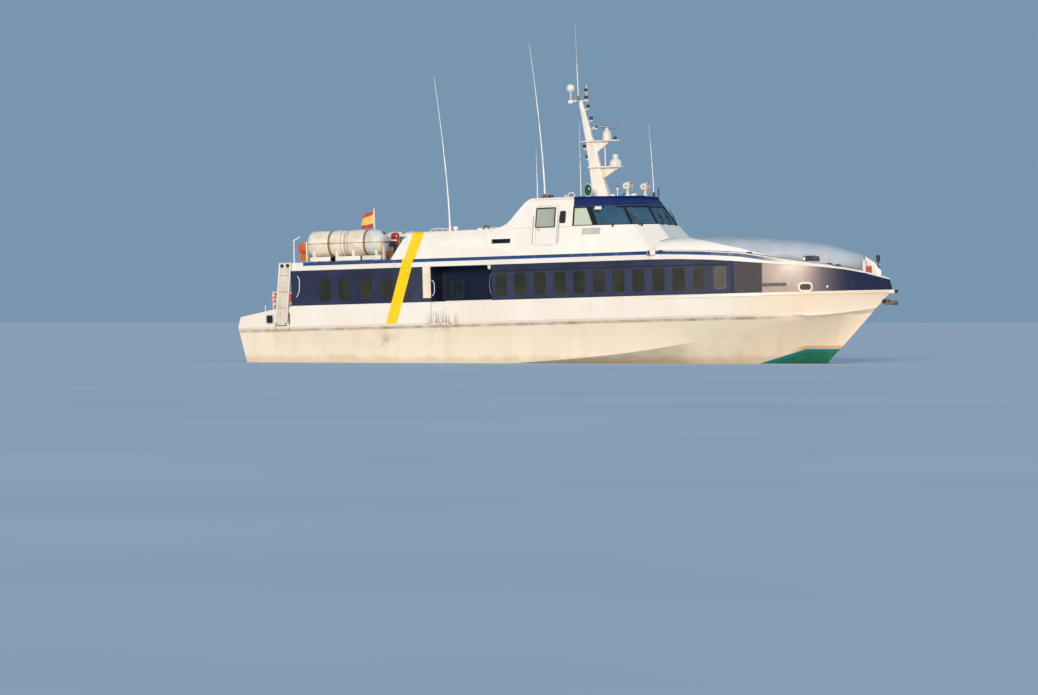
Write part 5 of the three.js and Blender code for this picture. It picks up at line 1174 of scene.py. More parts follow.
chocks = []
for x in RAFT_XS:
    for s in (-0.56, 0.56):
        seat = [(RAFT_Y - 0.42, ROOF), (RAFT_Y + 0.42, ROOF), (RAFT_Y + 0.5, 5.12), (RAFT_Y + 0.2, 4.93),
                (RAFT_Y - 0.2, 4.93), (RAFT_Y - 0.5, 5.12)]
        chocks.append(slab(WHITE, [(x + s - 0.06, y, z) for y, z in seat], (0.12, 0, 0), 0.012))
fairings = [block(coat, (a, -2.8, 4.665), (b, -2.72, 4.86), 0.02) for a, b, coat in
            ((-11.15, -10.18, TAPE), (-9.92, -8.72, TAPE), (-8.62, -7.72, PALE_GREY_AND_SHADE))]
end_plate = block(TAPE, (-11.49, -2.5, ROOF), (-11.43, -1.9, 5.58), 0.015)
buckle = block(WEBBING, (-7.75, -2.6, 4.93), (-7.69, -2.5, 5.3), 0.012)
fore_plate = block(TAPE, (-7.69, -2.6, ROOF), (-7.662, -2.3, 5.32), 0.008)
strap = pipe(WEBBING, [(-7.72, -2.55, 5.28), (-7.69, -2.5, 5.5), (-7.68, -2.35, 5.6)], 0.014)
plate = turned(DARK_GLASS, [(0.07, -0.02), (0.08, 0.0), (0.075, 0.012)], (-7.73, -2.3, 5.87), (1, 0, 0.5), 20)
latch = block(GALVANISED, (-7.72, -2.45, 5.42), (-7.63, -2.0, 5.47), 0.01)
line = pipe(BLACK, [(-9.62, RAFT_Y, 5.2), (-9.52, RAFT_Y - 0.1, 5.08), (-9.42, RAFT_Y, 5.2)], 0.012)
# The forward raft's fore half takes the pale grey: painted shade on the end that faces forward.
rafts = [canister(RAFT_XS[0], DOMED, 0.2, FLAT, MOULDED), canister(RAFT_XS[1], FLAT, 0.0, BLUNT, PALE_GREY_AND_SHADE)]
both_sides(joined(*rafts, end_plate, fore_plate, buckle, strap, plate, latch, line, *chocks, *fairings),
           "liferafts", stands_for="rafts_")

# Rescue boat: inflated tubes round a V hull, with strakes, a grab line and its chocks
TUBE_Y, TUBE_Z, TUBE_R = 0.62, 5.40, 0.21
half = [(-8.35, TUBE_Z), (-9.3, TUBE_Z), (-10.3, TUBE_Z), (-11.3, TUBE_Z)]
bow = [(-12.05, 0.52, 5.39), (-12.45, 0.33, 5.37), (-12.65, 0.0, 5.37)]


def round_the_boat(out, lift=0.0):
    """Points from one quarter of the boat round the bow to the other, out from the tube's middle."""
    side = [(x, TUBE_Y + out, z + lift) for x, z in half]
    side += [(x - out * (1 - y), y * (1 + out / TUBE_Y), z + lift) for x, y, z in bow]
    return [(x, -y, z) for x, y, z in side] + [(x, y, z) for x, y, z in reversed(side[:-1])]


tube = pipe(TUBE, round_the_boat(0), TUBE_R, taper=[1, 1, 1, 1, 1.05, 1.2, 1.3, 1.2, 1.05, 1, 1, 1, 1],
            rounds=7)
cones = [turned(TUBE, [(0.21, -0.02), (0.205, 0.02), (0.16, 0.09), (0.09, 0.13), (0.02, 0.14)],
                (-8.36, s * TUBE_Y, TUBE_Z), (1, 0, 0), 28)
         for s in (-1, 1)]
strake = pipe(BLACK, round_the_boat(0.205, -0.02), 0.026)
section = [(-8.44, y, z) for y, z in ((-0.48, 5.4), (-0.44, 5.1), (0, 4.75), (0.44, 5.1), (0.48, 5.4))]
bottom = drawn(section)
with editing(bottom):
    x = -8.44
    for to, narrow, lift in ((-11.1, 1.0, 1.0), (-11.9, 0.9, 1.0), (-12.35, 0.78, 0.98), (-12.66, 0.6, 0.97),
                             (-12.86, 0.45, 0.93)):
        extrude((to - x, 0, 0.0))
        bpy.ops.transform.resize(value=(1, narrow, lift), center_override=(to, 0, 5.46))
        x = to
    face_out()
coated(bottom, TUBE)
sole = block(GREY, (-11.8, -0.42, 5.41), (-8.5, 0.42, 5.44), 0.01)
thwarts = [block(WHITE, (x - 0.13, -0.44, 5.47), (x + 0.13, 0.44, 5.53), 0.02) for x in (-9.4, -10.5)]
transom = block(PLANK, (-8.48, -0.44, 5.1), (-8.41, 0.44, 5.56), 0.02)
bights = [(-8.6 - 0.17 * k, -0.838, 5.52 if k % 2 == 0 else 5.44) for k in range(16)]
grabs = [pipe(ROPE, [(x, s * y, z) for x, y, z in bights], 0.01) for s in (-1, 1)]
patches = [turned(TAPE, [(0.2, -0.04), (0.2145, -0.035), (0.2145, 0.035), (0.2, 0.04)],
                  (x, s * TUBE_Y, TUBE_Z), (1, 0, 0), 28)
           for x in (-9.0, -10.7) for s in (-1, 1)]
cradle = ((-0.42, ROOF), (0.42, ROOF), (0.42, 5.12), (0.05, 4.8), (-0.05, 4.8), (-0.42, 5.12))
boat_chocks = [slab(WHITE, [(x, y, z) for y, z in cradle], (0.12, 0, 0), 0.012) for x in (-9.46, -11.26)]
arms = [block(TAPE, (-11.42, s * 0.9 - 0.03, ROOF), (-11.34, s * 0.9 + 0.03, 5.6), 0.012) for s in (-1, 1)]
lashings = [pipe(BLACK, [(x, -0.86, 5.0), (x, -0.85, 5.48), (x, -0.62, 5.625), (x, 0, 5.56),
                         (x, 0.62, 5.625), (x, 0.85, 5.48), (x, 0.86, 5.0)], 0.014)
            for x in (-9.25, -11.0)]
fitted(joined(tube, strake, bottom, sole, transom, *cones, *thwarts, *grabs, *patches, *boat_chocks, *arms,
              *lashings),
       "rescue_boat_and_chocks", stands_for=("rescue_boat",))

# Outboard motor: cowl, black leg with its plate and gearcase, and the clamp
cowl = slab(RED, [(x, -0.15, z) for x, z in ((-8.33, 5.5), (-8.06, 5.46), (-7.97, 5.58), (-7.97, 5.82),
                                             (-8.07, 5.94), (-8.3, 5.89))], (0, 0.3, 0), 0.05, 3)
cowl_band = slab(TAPE, [(x, -0.158, z) for x, z in ((-8.3, 5.56), (-8.0, 5.54), (-8.0, 5.6), (-8.3, 5.62))],
                 (0, 0.316, 0), 0.004)
apron = block(BLACK, (-8.26, -0.1, 5.3), (-8.06, 0.1, 5.5), 0.03)
leg = slab(BLACK, [(x, -0.04, z) for x, z in ((-8.24, 5.34), (-8.22, 5.06), (-8.17, 4.94), (-8.1, 5.06),
                                              (-8.08, 5.34))], (0, 0.08, 0), 0.016)
cavitation_plate = block(BLACK, (-8.22, -0.11, 5.09), (-7.99, 0.11, 5.11), 0.008)
gearcase = rod(BLACK, (-8.24, 0, 5.02), (-8.02, 0, 5.02), 0.035, 0.045)
clamp = block(GALVANISED, (-8.4, -0.1, 5.3), (-8.22, 0.1, 5.5), 0.02)
tiller = pipe(BLACK, [(-8.28, 0.1, 5.52), (-8.5, 0.12, 5.58), (-8.72, 0.14, 5.62)], 0.02)
fitted(joined(cowl, cowl_band, apron, leg, cavitation_plate, gearcase, clamp, tiller), "outboard_motor",
       stands_for=("outboard",))

# Davit: a column with cheeks and a winch, and the luffing boom with its fall
DAVIT_X, DAVIT_Y, DAVIT_Z = -7.78, 1.25, 5.83
foot = turned(WHITE, [(0.22, 4.655), (0.22, 4.68), (0.13, 4.7), (0.118, 4.74), (0.108, 5.62), (0.125, 5.64),
                      (0.125, 5.7)], (DAVIT_X, DAVIT_Y, 0), sides=32)
cheek = ((-0.075, 5.6), (0.075, 5.6), (0.075, 5.84), (0.04, 5.9), (-0.04, 5.9), (-0.075, 5.84))
cheeks = [slab(WHITE, [(DAVIT_X + a, DAVIT_Y + s - 0.015, z) for a, z in cheek], (0, 0.03, 0), 0.005)
          for s in (-0.081, 0.081)]
gussets = [slab(WHITE, [(DAVIT_X + s * 0.1, DAVIT_Y - 0.008, 4.68),
                        (DAVIT_X + s * 0.2, DAVIT_Y - 0.008, 4.68),
                        (DAVIT_X + s * 0.1, DAVIT_Y - 0.008, 4.9)], (0, 0.016, 0)) for s in (-1, 1)]
winch = rod(WINCH, (DAVIT_X + 0.2, DAVIT_Y - 0.12, 5.25), (DAVIT_X + 0.2, DAVIT_Y + 0.12, 5.25), 0.09)
winch_plates = [turned(GALVANISED, [(0.12, -0.006), (0.13, 0), (0.12, 0.006)],
                       (DAVIT_X + 0.2, DAVIT_Y + s, 5.25), (0, 1, 0)) for s in (-0.12, 0.12)]
winch_arm = block(WHITE, (DAVIT_X + 0.08, DAVIT_Y - 0.05, 5.18), (DAVIT_X + 0.2, DAVIT_Y + 0.05, 5.32), 0.01)
crank = pipe(STAINLESS, [(DAVIT_X + 0.2, DAVIT_Y - 0.12, 5.25), (DAVIT_X + 0.2, DAVIT_Y - 0.2, 5.25),
                         (DAVIT_X + 0.2, DAVIT_Y - 0.2, 5.05), (DAVIT_X + 0.2, DAVIT_Y - 0.3, 5.05)],
             0.012, bend=False)
pin = rod(STAINLESS, (DAVIT_X, DAVIT_Y - 0.115, DAVIT_Z), (DAVIT_X, DAVIT_Y + 0.115, DAVIT_Z), 0.028)
fitted(joined(foot, *cheeks, *gussets, winch, winch_arm, crank, pin, *winch_plates), "davit_post_and_winch",
       stands_for=("davit_column",))
beam = block(WHITE, (-10.28, DAVIT_Y - 0.055, 5.765), (-7.705, DAVIT_Y + 0.055, 5.895), 0.018)
rib = block(GREY, (-10.2, DAVIT_Y - 0.06, 5.8), (-8.1, DAVIT_Y + 0.06, 5.855), 0.008)
sheave = turned(STAINLESS, [(0.05, -0.02), (0.06, -0.015), (0.05, 0), (0.06, 0.015), (0.05, 0.02)],
                (-10.2, DAVIT_Y, 5.72), (0, 1, 0))
wire = rod(GALVANISED, (-10.2, DAVIT_Y, 5.72), (-10.2, DAVIT_Y, 5.63), 0.008, sides=8, edge=0.001)
hook = pipe(GALVANISED, [(-10.2, DAVIT_Y, 5.65), (-10.17, DAVIT_Y, 5.62), (-10.17, DAVIT_Y, 5.6),
                         (-10.2, DAVIT_Y, 5.585), (-10.225, DAVIT_Y, 5.605)], 0.012)
fitted(joined(beam, rib, sheave, wire, hook), "davit_boom_and_hook", "davit_boom",
       ("davit_boom",))

# Flagstaff with its halyard, and the ensign that streams aft from it in folds
STAFF_X, STAFF_Y = -8.64, -1.23
staff = turned(TAPE, [(0.07, 4.655), (0.075, ROOF), (0.05, 4.7), (0.026, 4.72), (0.02, 6.97), (0.03, 6.975),
                      (0.038, 6.995), (0.03, 7.015), (0.01, 7.025)], (STAFF_X, STAFF_Y, 0), sides=20)
halyard = pipe(ROPE, [(STAFF_X + 0.03, STAFF_Y, 6.95), (STAFF_X + 0.035, STAFF_Y, 6.2),
                      (STAFF_X + 0.03, STAFF_Y, 5.5)], 0.005)
staff_cleat = pipe(STAINLESS, [(STAFF_X + 0.03, STAFF_Y, 5.4), (STAFF_X + 0.045, STAFF_Y, 5.47),
                               (STAFF_X + 0.03, STAFF_Y, 5.54)], 0.008)
eyes = [turned(STAINLESS, [(0.02, -0.006), (0.026, 0), (0.02, 0.006)], (STAFF_X, STAFF_Y, z), sides=14)
        for z in (6.17, 6.92)]
fitted(joined(staff, halyard, staff_cleat, *eyes), "flagstaff_and_halyard",
       stands_for=("flagstaff",))

# The edges of the cloth: (x, lower z, upper z)
HOIST = (-8.664, 6.15, 6.93)
FLY = (-9.262, 6.10, 6.71)
FOLDS, SLANT = 1.6, 0.9  # waves along the cloth, and up it


def flag_point(along, up):
    """Where the cloth is, from hoist to fly (0 to 1) and from foot to head (0 to 1)."""
    x, foot, head = [near + (far - near) * along for near, far in zip(HOIST, FLY)]
    droop = 0.012 * math.sin(math.pi * along) * (1 - up)
    wave = math.sin(2 * math.pi * (FOLDS * along + SLANT * up) - 0.4)
    swing = (0.02 + 0.065 * along) * min(1.0, 5 * along) * wave
    ripple = 0.012 * math.sin(7 * along + 2 * up) * along
    return Vector((x + ripple, STAFF_Y + swing, foot * (1 - up) + head * up - droop))


bpy.ops.mesh.primitive_grid_add(x_subdivisions=96, y_subdivisions=28, size=1)
ensign = settle(bpy.context.object)
for vert in ensign.data.vertices:
    vert.co = flag_point(vert.co.x + 0.5, vert.co.y + 0.5)
only(ensign)
thick = ensign.modifiers.new("thickness", "SOLIDIFY")
thick.thickness, thick.offset = 0.0016, 0.0
bpy.ops.object.modifier_apply(modifier="thickness")
coated(ensign, FLAG)
fitted(ensign, "ensign_cloth", stands_for=("flag",), angle=60)

# Gangway stowed upright at the starboard quarter: a ribbed plank between two alloy rails
GANGWAY = ((-12.73, 1.84), (-12.13, 1.84), (-11.87, 4.64), (-12.45, 4.64))


def gangway_x(z, edge):
    """The x of the gangway's after edge (0) or fore edge (1) at a height."""
    low, top = (GANGWAY[0], GANGWAY[3]) if edge == 0 else (GANGWAY[1], GANGWAY[2])
    return low[0] + (top[0] - low[0]) * (z - low[1]) / (top[1] - low[1])


plank = slab(PLANK, [(x, -3.325, z) for x, z in GANGWAY], (0, 0.055, 0), 0.008)
rails = []
for edge, inward in ((0, 0.05), (1, -0.05)):
    x0, x1 = gangway_x(1.84, edge), gangway_x(4.64, edge)
    rails.append(slab(TAPE, [(x0, -3.345, 1.84), (x0 + inward, -3.345, 1.84), (x1 + inward, -3.345, 4.64),
                             (x1, -3.345, 4.64)], (0, 0.08, 0), 0.01))
ribs = [block(PLANK, (gangway_x(z, 0) + 0.05, -3.334, z - 0.012), (gangway_x(z, 1) - 0.05, -3.32, z + 0.012),
              0.005)
        for z in [2.02 + 0.17 * k for k in range(15)]]
joints = [block(SEAM, (gangway_x(z, 0) + 0.04, -3.336, z - 0.008),
                (gangway_x(z, 1) - 0.04, -3.32, z + 0.008), 0.003) for z in (2.6, 3.33, 4.06)]
# Black discs in the hand holes: painted shade of the openings.
hole_shade_discs = [turned(BLACK, [(0.05, -0.002), (0.085, 0.0), (0.085, 0.012), (0.065, 0.016), (0.062, 0.004)],
                (x, -3.325, 4.5), (0, -1, 0)) for x in (-12.31, -12.03)]
wheels = [turned(BLACK, [(0.045, -0.02), (0.06, -0.012), (0.06, 0.012), (0.045, 0.02)], (x, -3.30, 1.895),
                 (1, 0, 0)) for x in (-12.66, -12.2)]
fitted(joined(plank, *rails, *ribs, *joints, *hole_shade_discs, *wheels), "gangway_plank", "gangway",
       ("gangway",))

# Pipe frame behind the gangway, a handrail on the house and, by the gangway's foot, a black block that is
# painted shade of a drain slot
posts = [rod(WHITE, (x, -2.93, 1.801), (x, -2.93, 3.33), 0.024) for x in (-12.96, -12.22)]
bars = [rod(WHITE, (-12.96, -2.93, z), (-12.22, -2.93, z), 0.022) for z in (3.33, 3.01, 2.5)]
flanges = [turned(WHITE, [(0.06, 1.802), (0.06, 1.815), (0.03, 1.825)], (x, -2.93, 0))
           for x in (-12.96, -12.22)]
corners = [turned(WHITE, [(0.01, -0.035), (0.026, -0.03), (0.034, 0), (0.026, 0.03), (0.01, 0.035)],
                  (x, -2.93, z)) for x in (-12.96, -12.22) for z in (3.33, 3.01, 2.5)]
fitted(joined(*posts, *bars, *flanges, *corners), "gangway_frame_pipes",
       stands_for=("gangway_frame",))
grips = []
for x, z, off in ((-11.66, 4.02, 0.0), (-11.56, 3.95, 0.07), (-11.52, 3.55, 0.08), (-11.6, 3.2, 0.07),
                  (-11.72, 3.08, 0.0)):
    point, out = on_side("main_house", x, z)
    grips.append(point + out * off)
curved = pipe(TAPE, grips, 0.02)
slot = block(BLACK, (-12.1, -3.212, 1.83), (-12.05, -3.19, 2.38), 0.008)
both_sides(joined(curved, slot), "after_handrails")

# Lifebuoys: orange shell, four white bands and a grab rope
def lifebuoy(at, turn):
    bpy.ops.mesh.primitive_torus_add(major_radius=0.29, minor_radius=0.07, major_segments=64,
                                     minor_segments=20)
    ring = coated(settle(bpy.context.object), BUOY, TAPE)
    with editing(ring):
        pick("FACE", lambda middle, normal: abs(math.degrees(math.atan2(middle.y, middle.x)) % 90 - 45) < 13)
        bpy.context.object.active_material_index = 1
        bpy.ops.object.material_slot_assign()
        bpy.ops.transform.shrink_fatten(value=0.003)
    rope = []
    for k in range(32):
        angle = math.radians(11.25 * k)
        reach = 0.368 if k % 8 == 4 else 0.378 - 0.004 * math.cos(4 * angle)
        rope.append((reach * math.cos(angle), reach * math.sin(angle), 0))
    grab = pipe(ROPE, rope, 0.009, closed=True)
    return moved(joined(ring, grab), at, turn)


fitted(lifebuoy((-12.74, -2.8357, 3.0), (math.radians(90), 0, 0)), "lifebuoy_on_frame",
       stands_for=("lifebuoy_frame",))
fitted(lifebuoy((-12.0406, -2.86, 3.05), (0, math.radians(90), 0)), "lifebuoy_on_house",
       stands_for=("lifebuoy_house",))

# After deck: twin bollards, hatches, seats against the house, windows beside the door, stern light
def bollards(x, y):
    base = block(WHITE, (x - 0.32, y - 0.13, 1.795), (x + 0.32, y + 0.13, 1.83), 0.012)
    rows = [(0.08, 1.82), (0.065, 1.85), (0.06, 2.0), (0.085, 2.04), (0.085, 2.06), (0.04, 2.085),
            (0.01, 2.09)]
    return joined(base, *[turned(GALVANISED, rows, (x + s, y, 0), sides=24) for s in (-0.19, 0.19)])


hatch = block(ALLOY, (-13.45, -1.75, 1.795), (-12.75, -1.05, 1.84), 0.02)
hatch_grip = pipe(STAINLESS, [(-13.2, -1.4, 1.835), (-13.18, -1.4, 1.87), (-13.02, -1.4, 1.87),
                              (-13.0, -1.4, 1.835)], 0.012)
seat = block(WHITE, (-12.42, -2.5, 1.8), (-11.985, -1.35, 2.2), 0.02)
seat_lid = block(SEAM_GREY, (-12.46, -2.53, 2.2), (-11.985, -1.32, 2.25), 0.02)
seat_latch = block(STAINLESS, (-12.44, -1.97, 2.1), (-12.41, -1.89, 2.18), 0.006)
aft_window = set_on(framed(1.15, 0.62, 0.12, 0.03, BLACK, SALOON_GLASS),
                    (Vector((-11.97, -1.55, 3.25)), Vector((-1, 0, 0))))
aft_rail = pipe(STAINLESS, [(-12.0, -0.72, 3.4), (-12.06, -0.72, 3.35), (-12.06, -0.72, 2.75),
                            (-12.0, -0.72, 2.7)], 0.016)
deck_lamp = block(LAMP_CLEAR, (-12.02, -1.2, 4.05), (-11.96, -0.95, 4.13), 0.012)
both_sides(joined(bollards(-13.75, -2.55), hatch, hatch_grip, seat, seat_lid, seat_latch, aft_window,
                  aft_rail, deck_lamp), "after_deck_fittings")
stern_lamp = moved(nav_lamp((0, 0, 0), LAMP_CLEAR, 0.06), (-12.06, 0, 4.3))
stern_arm = block(WHITE, (-12.12, -0.05, 4.27), (-11.96, 0.05, 4.3), 0.008)
fitted(joined(stern_lamp, stern_arm), "stern_light")

# After door: window, kick plate and lever
door_window = set_on(framed(0.5, 0.62, 0.07, 0.03, BLACK, DARK_GLASS),
                     (Vector((-12.015, 0, 3.3)), Vector((-1, 0, 0))))
door_kick = block(STAINLESS, (-12.022, -0.38, 1.9), (-12.01, 0.38, 2.12), 0.004)
door_lever = pipe(STAINLESS, [(-12.0, -0.38, 2.85), (-12.07, -0.38, 2.85), (-12.07, -0.24, 2.85)], 0.013)
fitted(joined(door_window, door_kick, door_lever), "after_door_fittings", "after_door")

# Bow: anchor at the stem, the fender, the locker and pipe, the windlass and the light
shank = tower(BLACK, [(0, -0.05, 0.05, 0.042), (0.66, -0.04, 0.04, 0.034)], 0.014)
shank = moved(shank, (14.57, 0, 2.297), (0, math.radians(105.7), 0))
crown = block(RUSTY, (15.06, -0.17, 2.02), (15.285, 0.17, 2.205), 0.05, 3)
stock = rod(RUSTY, (15.17, -0.3, 2.1), (15.17, 0.3, 2.1), 0.06)
palm = ((15.24, 2.16), (15.1, 2.2), (14.77, 2.11), (14.8, 2.035), (15.12, 2.03))
flukes = [slab(RUSTY, [(x, s * 0.265 - 0.03, z) for x, z in palm], (0, 0.06, 0), 0.014) for s in (-1, 1)]
roller_box = block(BLACK, (14.62, -0.088, 2.095), (14.9, 0.088, 2.265), 0.02)
roller = rod(BLACK, (14.9, -0.1, 2.12), (14.9, 0.1, 2.12), 0.045)
fitted(joined(shank, crown, stock, roller_box, roller, *flukes), "anchor_on_the_stem",
       stands_for=("anchor",))

low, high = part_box("bow_fender")
nose = turned(RUBBER, [(0.055, low.z), (0.07, low.z + 0.012), (0.07, high.z - 0.012), (0.055, high.z)],
              (high.x - 0.07, 0, 0), sides=32)
back_plate = block(RUBBER, (low.x, -0.068, low.z + 0.003), (high.x - 0.06, 0.068, high.z - 0.003), 0.01)
bolts = [turned(STAINLESS, [(0.012, 0), (0.014, 0.004), (0.01, 0.01)], (high.x - 0.03, y, high.z - 0.002),
                sides=10) for y in (-0.03, 0.03)]
fitted(joined(nose, back_plate, *bolts), "bow_fender_rubber", stands_for=("bow_fender",))

section = ((13.895, WELL), (14.595, WELL), (14.595, 3.495), (14.325, 3.875), (13.895, 4.175))
cabinet = slab(WHITE, [(x, -0.055, z) for x, z in section], (0, 0.2, 0), 0.02)
door_seam = gasket(GREY, 0.46, 0.5, 0.04, 0.01, 0.003, 0.01)
moved(door_seam, (14.17, -0.055, 3.42))
latches = [block(STAINLESS, (13.98, -0.075, z), (14.02, -0.05, z + 0.06), 0.006) for z in (3.3, 3.5)]
air_pipe = turned(WHITE, [(0.1, WELL), (0.1, 3.07), (0.07, 3.09), (0.07, 3.93), (0.1, 3.95), (0.1, 3.99),
                          (0.07, 4.005), (0.02, 4.01)], (13.96, -0.46, 0))
step = block(WHITE, (13.9, -0.505, WELL), (14.02, 0.0, 3.13), 0.012)
fitted(joined(cabinet, door_seam, air_pipe, step, *latches), "bow_locker_and_pipe",
       stands_for=("bow_locker",))

bed = block(WINCH, (14.055, -0.322, WELL), (14.215, -0.148, 3.28), 0.02)
post = block(WINCH, (14.075, -0.28, 3.2), (14.165, -0.19, 3.6), 0.015)
reel = (14.12, -0.235, 3.6)
drum = turned(WINCH, [(0.166, -0.08), (0.17, -0.076), (0.17, -0.064), (0.1, -0.06), (0.095, 0), (0.1, 0.06),
                      (0.17, 0.064), (0.17, 0.076), (0.166, 0.08)], reel, (1, 0, 0), 36)
coils = [turned(WINCH, [(0.12, -0.011), (0.128, 0.0), (0.12, 0.011)], (14.12 + 0.022 * k, -0.235, 3.6),
                (1, 0, 0), 28) for k in (-2, -1, 0, 1, 2)]
hub = turned(GALVANISED, [(0.05, -0.09), (0.05, 0.085), (0.03, 0.09)], reel, (1, 0, 0))
crank = pipe(STAINLESS, [(14.2, -0.235, 3.6), (14.225, -0.235, 3.6), (14.225, -0.33, 3.55),
                         (14.26, -0.33, 3.55)], 0.011, bend=False)
tail = pipe(ROPE, [(14.12, -0.36, 3.6), (14.13, -0.375, 3.35), (14.19, -0.36, 3.1), (14.33, -0.3, 3.065)],
            0.01)
fitted(joined(bed, post, drum, hub, crank, tail, *coils), "rope_reel",
       stands_for=("windlass",))

lamp_post = turned(BLACK, [(0.05, 3.655), (0.05, 3.7), (0.024, 3.71), (0.022, 3.9), (0.05, 3.92),
                           (0.08, 3.94), (0.082, 3.98), (0.074, 3.99), (0.074, 4.07),
                           (0.095, 4.085), (0.095, 4.13), (0.06, 4.2), (0.02, 4.21)], (14.47, 0, 0), sides=24)
bracket = rod(GREY, (14.47, 0, 3.8), (14.61, 0, 3.8), 0.014)
fitted(joined(lamp_post, bracket), "bow_lamp_on_post", stands_for=("bow_light",))

# Side lights on the boxes at the edge of the roof
for name, side, lens in (("starboard", -1, LAMP_GREEN), ("port", 1, LAMP_RED)):
    screen = block(TAPE, (5.025, side * 3.265 - 0.06, 4.43), (5.385, side * 3.265 + 0.06, 4.68), 0.012)
    glass = block(lens, (5.04, side * 3.31 - 0.025, 4.46), (5.16, side * 3.31 + 0.025, 4.65), 0.02)
    surround = block(BLACK, (5.02, side * 3.3 - 0.025, 4.43), (5.19, side * 3.3 + 0.025, 4.46), 0.006)
    fitted(joined(screen, glass, surround), f"side_light_{name}")

# Propellers: a hub and four twisted blades
BLADE = ((0.06, 0.11, 0.034, 62), (0.14, 0.2, 0.028, 50), (0.24, 0.3, 0.021, 39), (0.34, 0.31, 0.014, 31),
         (0.405, 0.2, 0.009, 27), (0.435, 0.08, 0.005, 25))
reach, chord, thick, pitch = BLADE[0]
bpy.ops.mesh.primitive_circle_add(vertices=24, radius=0.5, fill_type="NGON", location=(0, 0, reach))
blade = sized(thick, chord, 1)
with editing(blade):
    bpy.ops.transform.rotate(value=math.radians(pitch), orient_axis="Z", center_override=(0, 0, reach))
    for far, wide, thin, angle in BLADE[1:]:
        extrude((0, 0, far - reach))
        bpy.ops.transform.rotate(value=math.radians(-pitch), orient_axis="Z", center_override=(0, 0, far))
        bpy.ops.transform.resize(value=(thin / thick, wide / chord, 1), center_override=(0, 0, far))
        bpy.ops.transform.rotate(value=math.radians(angle), orient_axis="Z", center_override=(0, 0, far))
        reach, chord, thick, pitch = far, wide, thin, angle
    face_out()
coated(blade, BRONZE)
blades = joined(blade, *[copied(blade, turn=(math.radians(90 * k), 0, 0)) for k in (1, 2, 3)])
hub = turned(BRONZE, [(0.02, -0.16), (0.055, -0.14), (0.075, -0.08), (0.09, 0.02), (0.095, 0.12),
                      (0.09, 0.13)], (0, 0, 0), (1, 0, 0))
wheel = moved(joined(blades, hub), (-12.35, SHAFT_Y, SHAFT_Z))
both_sides(wheel, "propeller_wheel", "propeller_", "propeller_", 50)

# Rudders: a foil blade that narrows downwards, on its stock
foil = [(k / 10, 0.11 * (math.sqrt(k / 10) * (1 - k / 10) * 1.3)) for k in range(11)]
outline = [(-13.14 - 0.55 * a, SHAFT_Y - b * 0.56, -0.775) for a, b in foil]
outline += [(-13.14 - 0.55 * a, SHAFT_Y + b * 0.56, -0.775) for a, b in reversed(foil[1:-1])]
blade = coated(drawn(outline), BRONZE)
with editing(blade):
    extrude((0, 0, -0.915))
    bpy.ops.transform.resize(value=(0.84, 0.7, 1), center_override=(-13.33, SHAFT_Y, -1.69))
    face_out()
stock = rod(BRONZE, (RUDDER_X, SHAFT_Y, -0.92), (RUDDER_X, SHAFT_Y, -0.302), 0.045)
cap_plate = block(BRONZE, (-13.6, -1.49, -0.79), (-13.2, -1.41, -0.765), 0.008)
both_sides(joined(blade, stock, cap_plate), "rudder_blade", "rudder_", "rudder_", 40)

# Shafts with their sleeves and struts
shaft_line = pipe(STEEL, [(-12.23, SHAFT_Y, SHAFT_Z), (-11.92, SHAFT_Y, SHAFT_Z), (-7.8, SHAFT_Y, -0.6)],
                  0.045, bend=False, rounds=5)
sleeve = turned(BRONZE, [(0.06, 0), (0.072, 0.012), (0.08, 0.04), (0.08, 0.26), (0.072, 0.288), (0.06, 0.3)],
                (-12.214, SHAFT_Y, SHAFT_Z), (1, 0, 0))
section = ((-12.154, 0), (-12.13, -0.014), (-12.08, -0.022), (-12.02, -0.018), (-11.974, 0),
           (-12.02, 0.018), (-12.08, 0.022), (-12.13, 0.014))
strut = slab(BRONZE, [(x, SHAFT_Y + y, -0.49) for x, y in section], (0, 0, -0.72))
anode = turned(ALLOY, [(0.06, -0.05), (0.085, -0.03), (0.085, 0.03), (0.06, 0.05)], (-9.9, SHAFT_Y, -0.937),
               (4.12, 0, 0.66))
both_sides(joined(shaft_line, sleeve, strut, anode), "shaft_line",
           stands_for="shaft_")

# Helm: the console with its screens, dials, levers and wheel
section = ((3.35, 4.955), (4.15, 4.955), (4.495, 5.69), (4.3, 5.755), (3.7, 5.635), (3.5, 5.42))
console = slab(TRIM_GREY, [(x, -1.15, z) for x, z in section], (0, 2.3, 0), 0.025, 3)
DASH = Vector((-0.215, 0, 0.2)).normalized()
HELM_WHEEL = Vector((3.33, 0.52, 5.42))


def on_dash(y, along):
    """A spot on the sloping face of the helm console, from its lower to its upper edge (0 to 1)."""
    return Vector((3.5 + 0.2 * along, y, 5.42 + 0.215 * along)), DASH


screens = [set_on(framed(wide, 0.19, 0.012, 0.012, BLACK, SCREEN, proud=0.012, sink=0.004), on_dash(y, 0.5))
           for y, wide in ((-0.88, 0.3), (-0.5, 0.34), (0.5, 0.34), (0.88, 0.3))]
dials = [turned(SCREEN, [(0.045, -0.01), (0.048, 0.008), (0.04, 0.012)], *on_dash(y, 0.72), 20)
         for y in (-0.2, -0.07, 0.07, 0.2)]
throttle = block(BLACK, (3.78, -0.12, 5.64), (3.98, 0.12, 5.7), 0.015)
levers = [rod(STAINLESS, (3.88, y, 5.68), (3.82, y, 5.82), 0.01) for y in (-0.05, 0.05)]
lever_knobs = [ball((3.815, y, 5.83), 0.024, BLACK) for y in (-0.05, 0.05)]
bpy.ops.mesh.primitive_torus_add(major_radius=0.17, minor_radius=0.014, major_segments=48, minor_segments=12)
rim = coated(moved(bpy.context.object, HELM_WHEEL, (0, math.radians(-60), 0)), BLACK)
tilt = Matrix.Rotation(math.radians(-60), 3, "Y")
